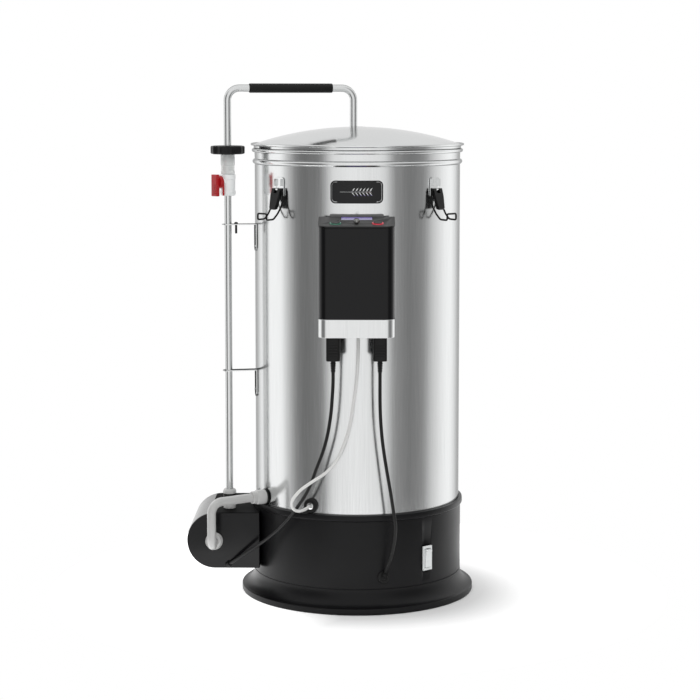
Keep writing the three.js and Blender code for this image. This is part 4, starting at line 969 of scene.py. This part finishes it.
def make_cap(looks):
    depth = (BOX_BACK - CAP_FRONT) / math.cos(CAP_SLOPE)
    outline = rounded_rectangle(-CAP_WIDTH / 2, CAP_WIDTH / 2, -depth, -0.9, 14, 2, 14)
    half = 22.5
    holes = ((-BUTTON_X, BUTTON_Y, 8.7), (BUTTON_X, BUTTON_Y, 8.7), (0, KNOB_Y, 2.8))
    for name, bottom, top, look, nodes in (
        ("box_cap", -0.9, 0, "cap", ["control_cap"]), ("box_cap_skirt", -3, -0.9, "gloss", []),
    ):
        layer = apply_modifiers(bevelled(prism(name, outline, bottom, top, panel()), 0.3, 2))
        pocket = rounded_rectangle(-half, half, -21.5, -2.5, 1, steps=3)
        tools = [prism("pocket", pocket, -2, 2, panel())]
        for x, y, radius in holes:
            drill = [(0, -8), (radius, -8), (radius, 3), (0, 3)]
            tools.append(lathe("hole", drill, 64, panel() @ at(x, y)))
        dress(cut(layer, *tools), looks[look], "brewer", "cap_grey", *nodes)
    pane = rounded_rectangle(-half + 0.3, half - 0.3, -21.2, -2.8, 0.8, steps=3)
    window = prism("display_glass", pane, -1.7, -0.3, panel())
    dress(bevelled(window, 0.25, 2), looks["display"], "brewer", "display", "display_window")
    for name, body, x, look, slot in (
        ("green_button", "green_key", -BUTTON_X, "green", "green_plastic"),
        ("red_button", "red_key", BUTTON_X, "red_lamp", "red_button"),
    ):
        profile = [
            (6.3, -4), (8.3, -4), (8.3, 0.6), (8, 1.05), (7.4, 1.2), (6.8, 1.1), (6.3, 0.6), (6.3, -4),
        ]
        place = panel() @ at(x, BUTTON_Y)
        dress(lathe(f"{name}_ring", profile, 64, place), looks[look], body, slot, name)
        disc = [(0, -9), (3, -9), (3, -5), (6.2, -4), (6.2, 1.7), (5.7, 2.15), (2, 2.05), (0, 2.05)]
        dress(lathe(f"{name}_disc", disc, 64, place), looks["cap"], body, slot)
    knob = lathe("select_knob", [
        (0, -9), (2.3, -9), (2.3, 1.8), (3.6, 1.9), (4.4, 2.4), (4.6, 3.4), (4.5, 5), (4, 6.4),
        (3, 7.4), (1.6, 8), (0, 8.2),
    ], 48, panel() @ at(0, KNOB_Y))
    dress(knob, looks["knob"], "knob", "knob_metal", "menu_knob")


# ------------------------------------------------------------------- inside

def make_inside(looks):
    """The grain basket and what stands in it."""
    low, high = box_mm("grain_basket")
    inner, outer, ledge = 138.8, 140, 150
    profile = (
        [(inner, low.z), (outer, low.z), (outer, high.z - 4)]
        + arc((outer + 1.5, high.z - 1.5), 1.5, -60, 170, 10)
        + [(inner, high.z - 1.5), (inner, ledge), (inner - 5, ledge), (inner - 5, ledge - 1.2)]
        + [(inner, ledge - 2), (inner, low.z)]
    )
    dress(lathe("basket_wall", profile, 128), looks["inside"], "basket", "steel_brushed", "grain_basket")
    low, high = box_mm("overflow_pipe")
    pipe = lathe("overflow_tube", [
        (11.5, low.z), (20, low.z), (20, low.z + 1.2), (13.4, low.z + 1.6), (12.7, low.z + 3),
        (12.7, high.z - 0.4), (12.2, high.z), (11.5, high.z), (11.5, low.z),
    ], 64)
    dress(pipe, looks["inside"], "basket", "steel_brushed", "overflow_pipe")
    paint(looks["inside"], "bottom_screen", "top_screen")


# ------------------------------------------------------------------- studio

# Brightness of the studio's walls by direction in degrees from the front, positive to the right.
STUDIO_BANDS = [
    (-180, 0.8), (-160, 0.9), (-148, 1.3), (-134, 1.5), (-131, 0.5), (-128.5, 0.5), (-124, 1.2),
    (-94, 1.1), (-86, 0.7), (-72, 0.24), (-62, 0.17), (-40, 0.22), (-27, 0.85), (-5, 0.95),
    (30, 0.85), (42, 0.3), (60, 0.2), (77, 0.26), (84, 0.38), (91, 0.62), (99, 0.78), (115, 1.1),
    (130, 1.35), (148, 1.25), (160, 0.9), (180, 0.8),
]


def make_world():
    """A pale studio: bright sweeps in front and at the sides, with darker gaps between them.

    The back wall and the ceiling are plain and pale, and the backdrop itself is white.
    """
    world = bpy.data.worlds.new("studio")
    bpy.context.scene.world = world
    world.use_nodes = True
    nodes, links = world.node_tree.nodes, world.node_tree.links
    nodes.clear()
    where = nodes.new("ShaderNodeTexCoord")
    split = nodes.new("ShaderNodeSeparateXYZ")
    links.new(where.outputs["Generated"], split.inputs["Vector"])
    front = nodes.new("ShaderNodeMath")
    front.operation = "MULTIPLY"
    front.inputs[1].default_value = -1
    links.new(split.outputs["Y"], front.inputs[0])
    angle = nodes.new("ShaderNodeMath")
    angle.operation = "ARCTAN2"
    links.new(split.outputs["X"], angle.inputs[0])
    links.new(front.outputs[0], angle.inputs[1])
    ranged = nodes.new("ShaderNodeMapRange")
    ranged.inputs["From Min"].default_value = -math.pi
    ranged.inputs["From Max"].default_value = math.pi
    links.new(angle.outputs[0], ranged.inputs["Value"])
    ramp = nodes.new("ShaderNodeValToRGB")
    stops = ramp.color_ramp.elements
    stops[0].position, stops[1].position = 0, 1
    for degrees, value in STUDIO_BANDS[1:-1]:
        stop = stops.new((degrees + 180) / 360)
        stop.color = (value, value, value, 1)
    for stop, (degrees, value) in ((stops[0], STUDIO_BANDS[0]), (stops[-1], STUDIO_BANDS[-1])):
        stop.color = (value, value, value, 1)
    links.new(ranged.outputs["Result"], ramp.inputs["Fac"])
    rear = faded(nodes, links, split.outputs["Y"], 0.8, 0.9, 0.6)
    ceiling = faded(nodes, links, split.outputs["Z"], 0.35, 0.75, 1)
    pale = blended(nodes, links, ramp.outputs["Color"], 0.95, rear)
    lit = blended(nodes, links, pale, 0.9, ceiling)
    room = nodes.new("ShaderNodeBackground")
    links.new(lit, room.inputs["Color"])
    paper = nodes.new("ShaderNodeBackground")
    paper.inputs["Color"].default_value = (1, 1, 1, 1)
    rays = nodes.new("ShaderNodeLightPath")
    choose = nodes.new("ShaderNodeMixShader")
    links.new(rays.outputs["Is Camera Ray"], choose.inputs["Fac"])
    links.new(room.outputs[0], choose.inputs[1])
    links.new(paper.outputs[0], choose.inputs[2])
    output = nodes.new("ShaderNodeOutputWorld")
    links.new(choose.outputs[0], output.inputs["Surface"])


def faded(nodes, links, value, start, full, most):
    """A value mapped from nothing at the start to the most."""
    ranged = nodes.new("ShaderNodeMapRange")
    ranged.inputs["From Min"].default_value = start
    ranged.inputs["From Max"].default_value = full
    ranged.inputs["To Min"].default_value = 0
    ranged.inputs["To Max"].default_value = most
    links.new(value, ranged.inputs["Value"])
    return ranged.outputs["Result"]


def blended(nodes, links, color, value, factor):
    """A colour that turns to a grey value by a factor."""
    mix = nodes.new("ShaderNodeMixRGB")
    links.new(factor, mix.inputs["Fac"])
    links.new(color, mix.inputs["Color1"])
    mix.inputs["Color2"].default_value = (value, value, value, 1)
    return mix.outputs["Color"]


def make_floor():
    """Pale paper with a painted glow: it is brighter away from the object and on its left, so that the
    shadow shows only at the right.
    """
    material, principled = shader("floor_paper", (0.82, 0.82, 0.82), 0.7)
    bump(material, principled, grain(material, 150), 0.05, 0.2)
    principled.inputs["Emission Color"].default_value = (1, 1, 1, 1)
    nodes, links = material.node_tree.nodes, material.node_tree.links
    where = nodes.new("ShaderNodeTexCoord")
    split = nodes.new("ShaderNodeSeparateXYZ")
    links.new(where.outputs["Object"], split.inputs["Vector"])
    away = nodes.new("ShaderNodeVectorMath")
    away.operation = "LENGTH"
    links.new(where.outputs["Object"], away.inputs[0])
    # Painted light: the floor's emission rises away from the object and on its left, which leaves a painted
    # shadow only at the right.
    painted_glow_open_floor = faded(nodes, links, away.outputs["Value"], 0.195, 0.31, 0.45)
    painted_glow_left_floor = faded(nodes, links, split.outputs["X"], -0.02, -0.16, 0.85)
    painted_glow = nodes.new("ShaderNodeMath")
    painted_glow.operation = "MAXIMUM"
    links.new(painted_glow_open_floor, painted_glow.inputs[0])
    links.new(painted_glow_left_floor, painted_glow.inputs[1])
    links.new(painted_glow.outputs[0], principled.inputs["Emission Strength"])
    disc = [(0, -0.3), (FLOOR_RADIUS, -0.3), (FLOOR_RADIUS, -0.2), (0, -0.2)]
    floor = lathe("floor", disc, 128)
    floor.data.materials.append(material)


def area_light(name, place, target, size, power):
    """A round lamp aimed at a target, left out of reflections."""
    lamp = bpy.data.lights.new(name, "AREA")
    lamp.shape = "DISK"
    lamp.size = size
    lamp.energy = power
    light = bpy.data.objects.new(name, lamp)
    bpy.context.scene.collection.objects.link(light)
    light.location = place
    light.rotation_euler = (Vector(target) - Vector(place)).to_track_quat("-Z", "Y").to_euler()
    light.visible_glossy = False


def make_lights():
    area_light("key", (-1.3, 0.9, 2.4), (0, 0, 0.3), 3.0, 42)
    area_light("fill", (0.9, -1.6, 2.2), (0, 0, 0.4), 1.6, 16)


# --------------------------------------------------------------------- build

def build():
    make_camera()
    looks = make_materials()
    make_plugs(looks)
    make_cords(looks)
    make_boiler(looks)
    make_badge(looks)
    make_base(looks)
    make_switch(looks)
    make_grommets(looks)
    make_pump(looks)
    make_inlet(looks)
    make_riser(looks)
    make_valve(looks)
    make_arm(looks)
    make_nut(looks)
    make_lid(looks)
    for name, angle in LATCHES.items():
        make_latch(looks, name, angle)
    make_control_box(looks)
    make_inside(looks)
    make_world()
    make_floor()
    make_lights()
    bpy.context.scene.view_settings.view_transform = "Standard"


build()
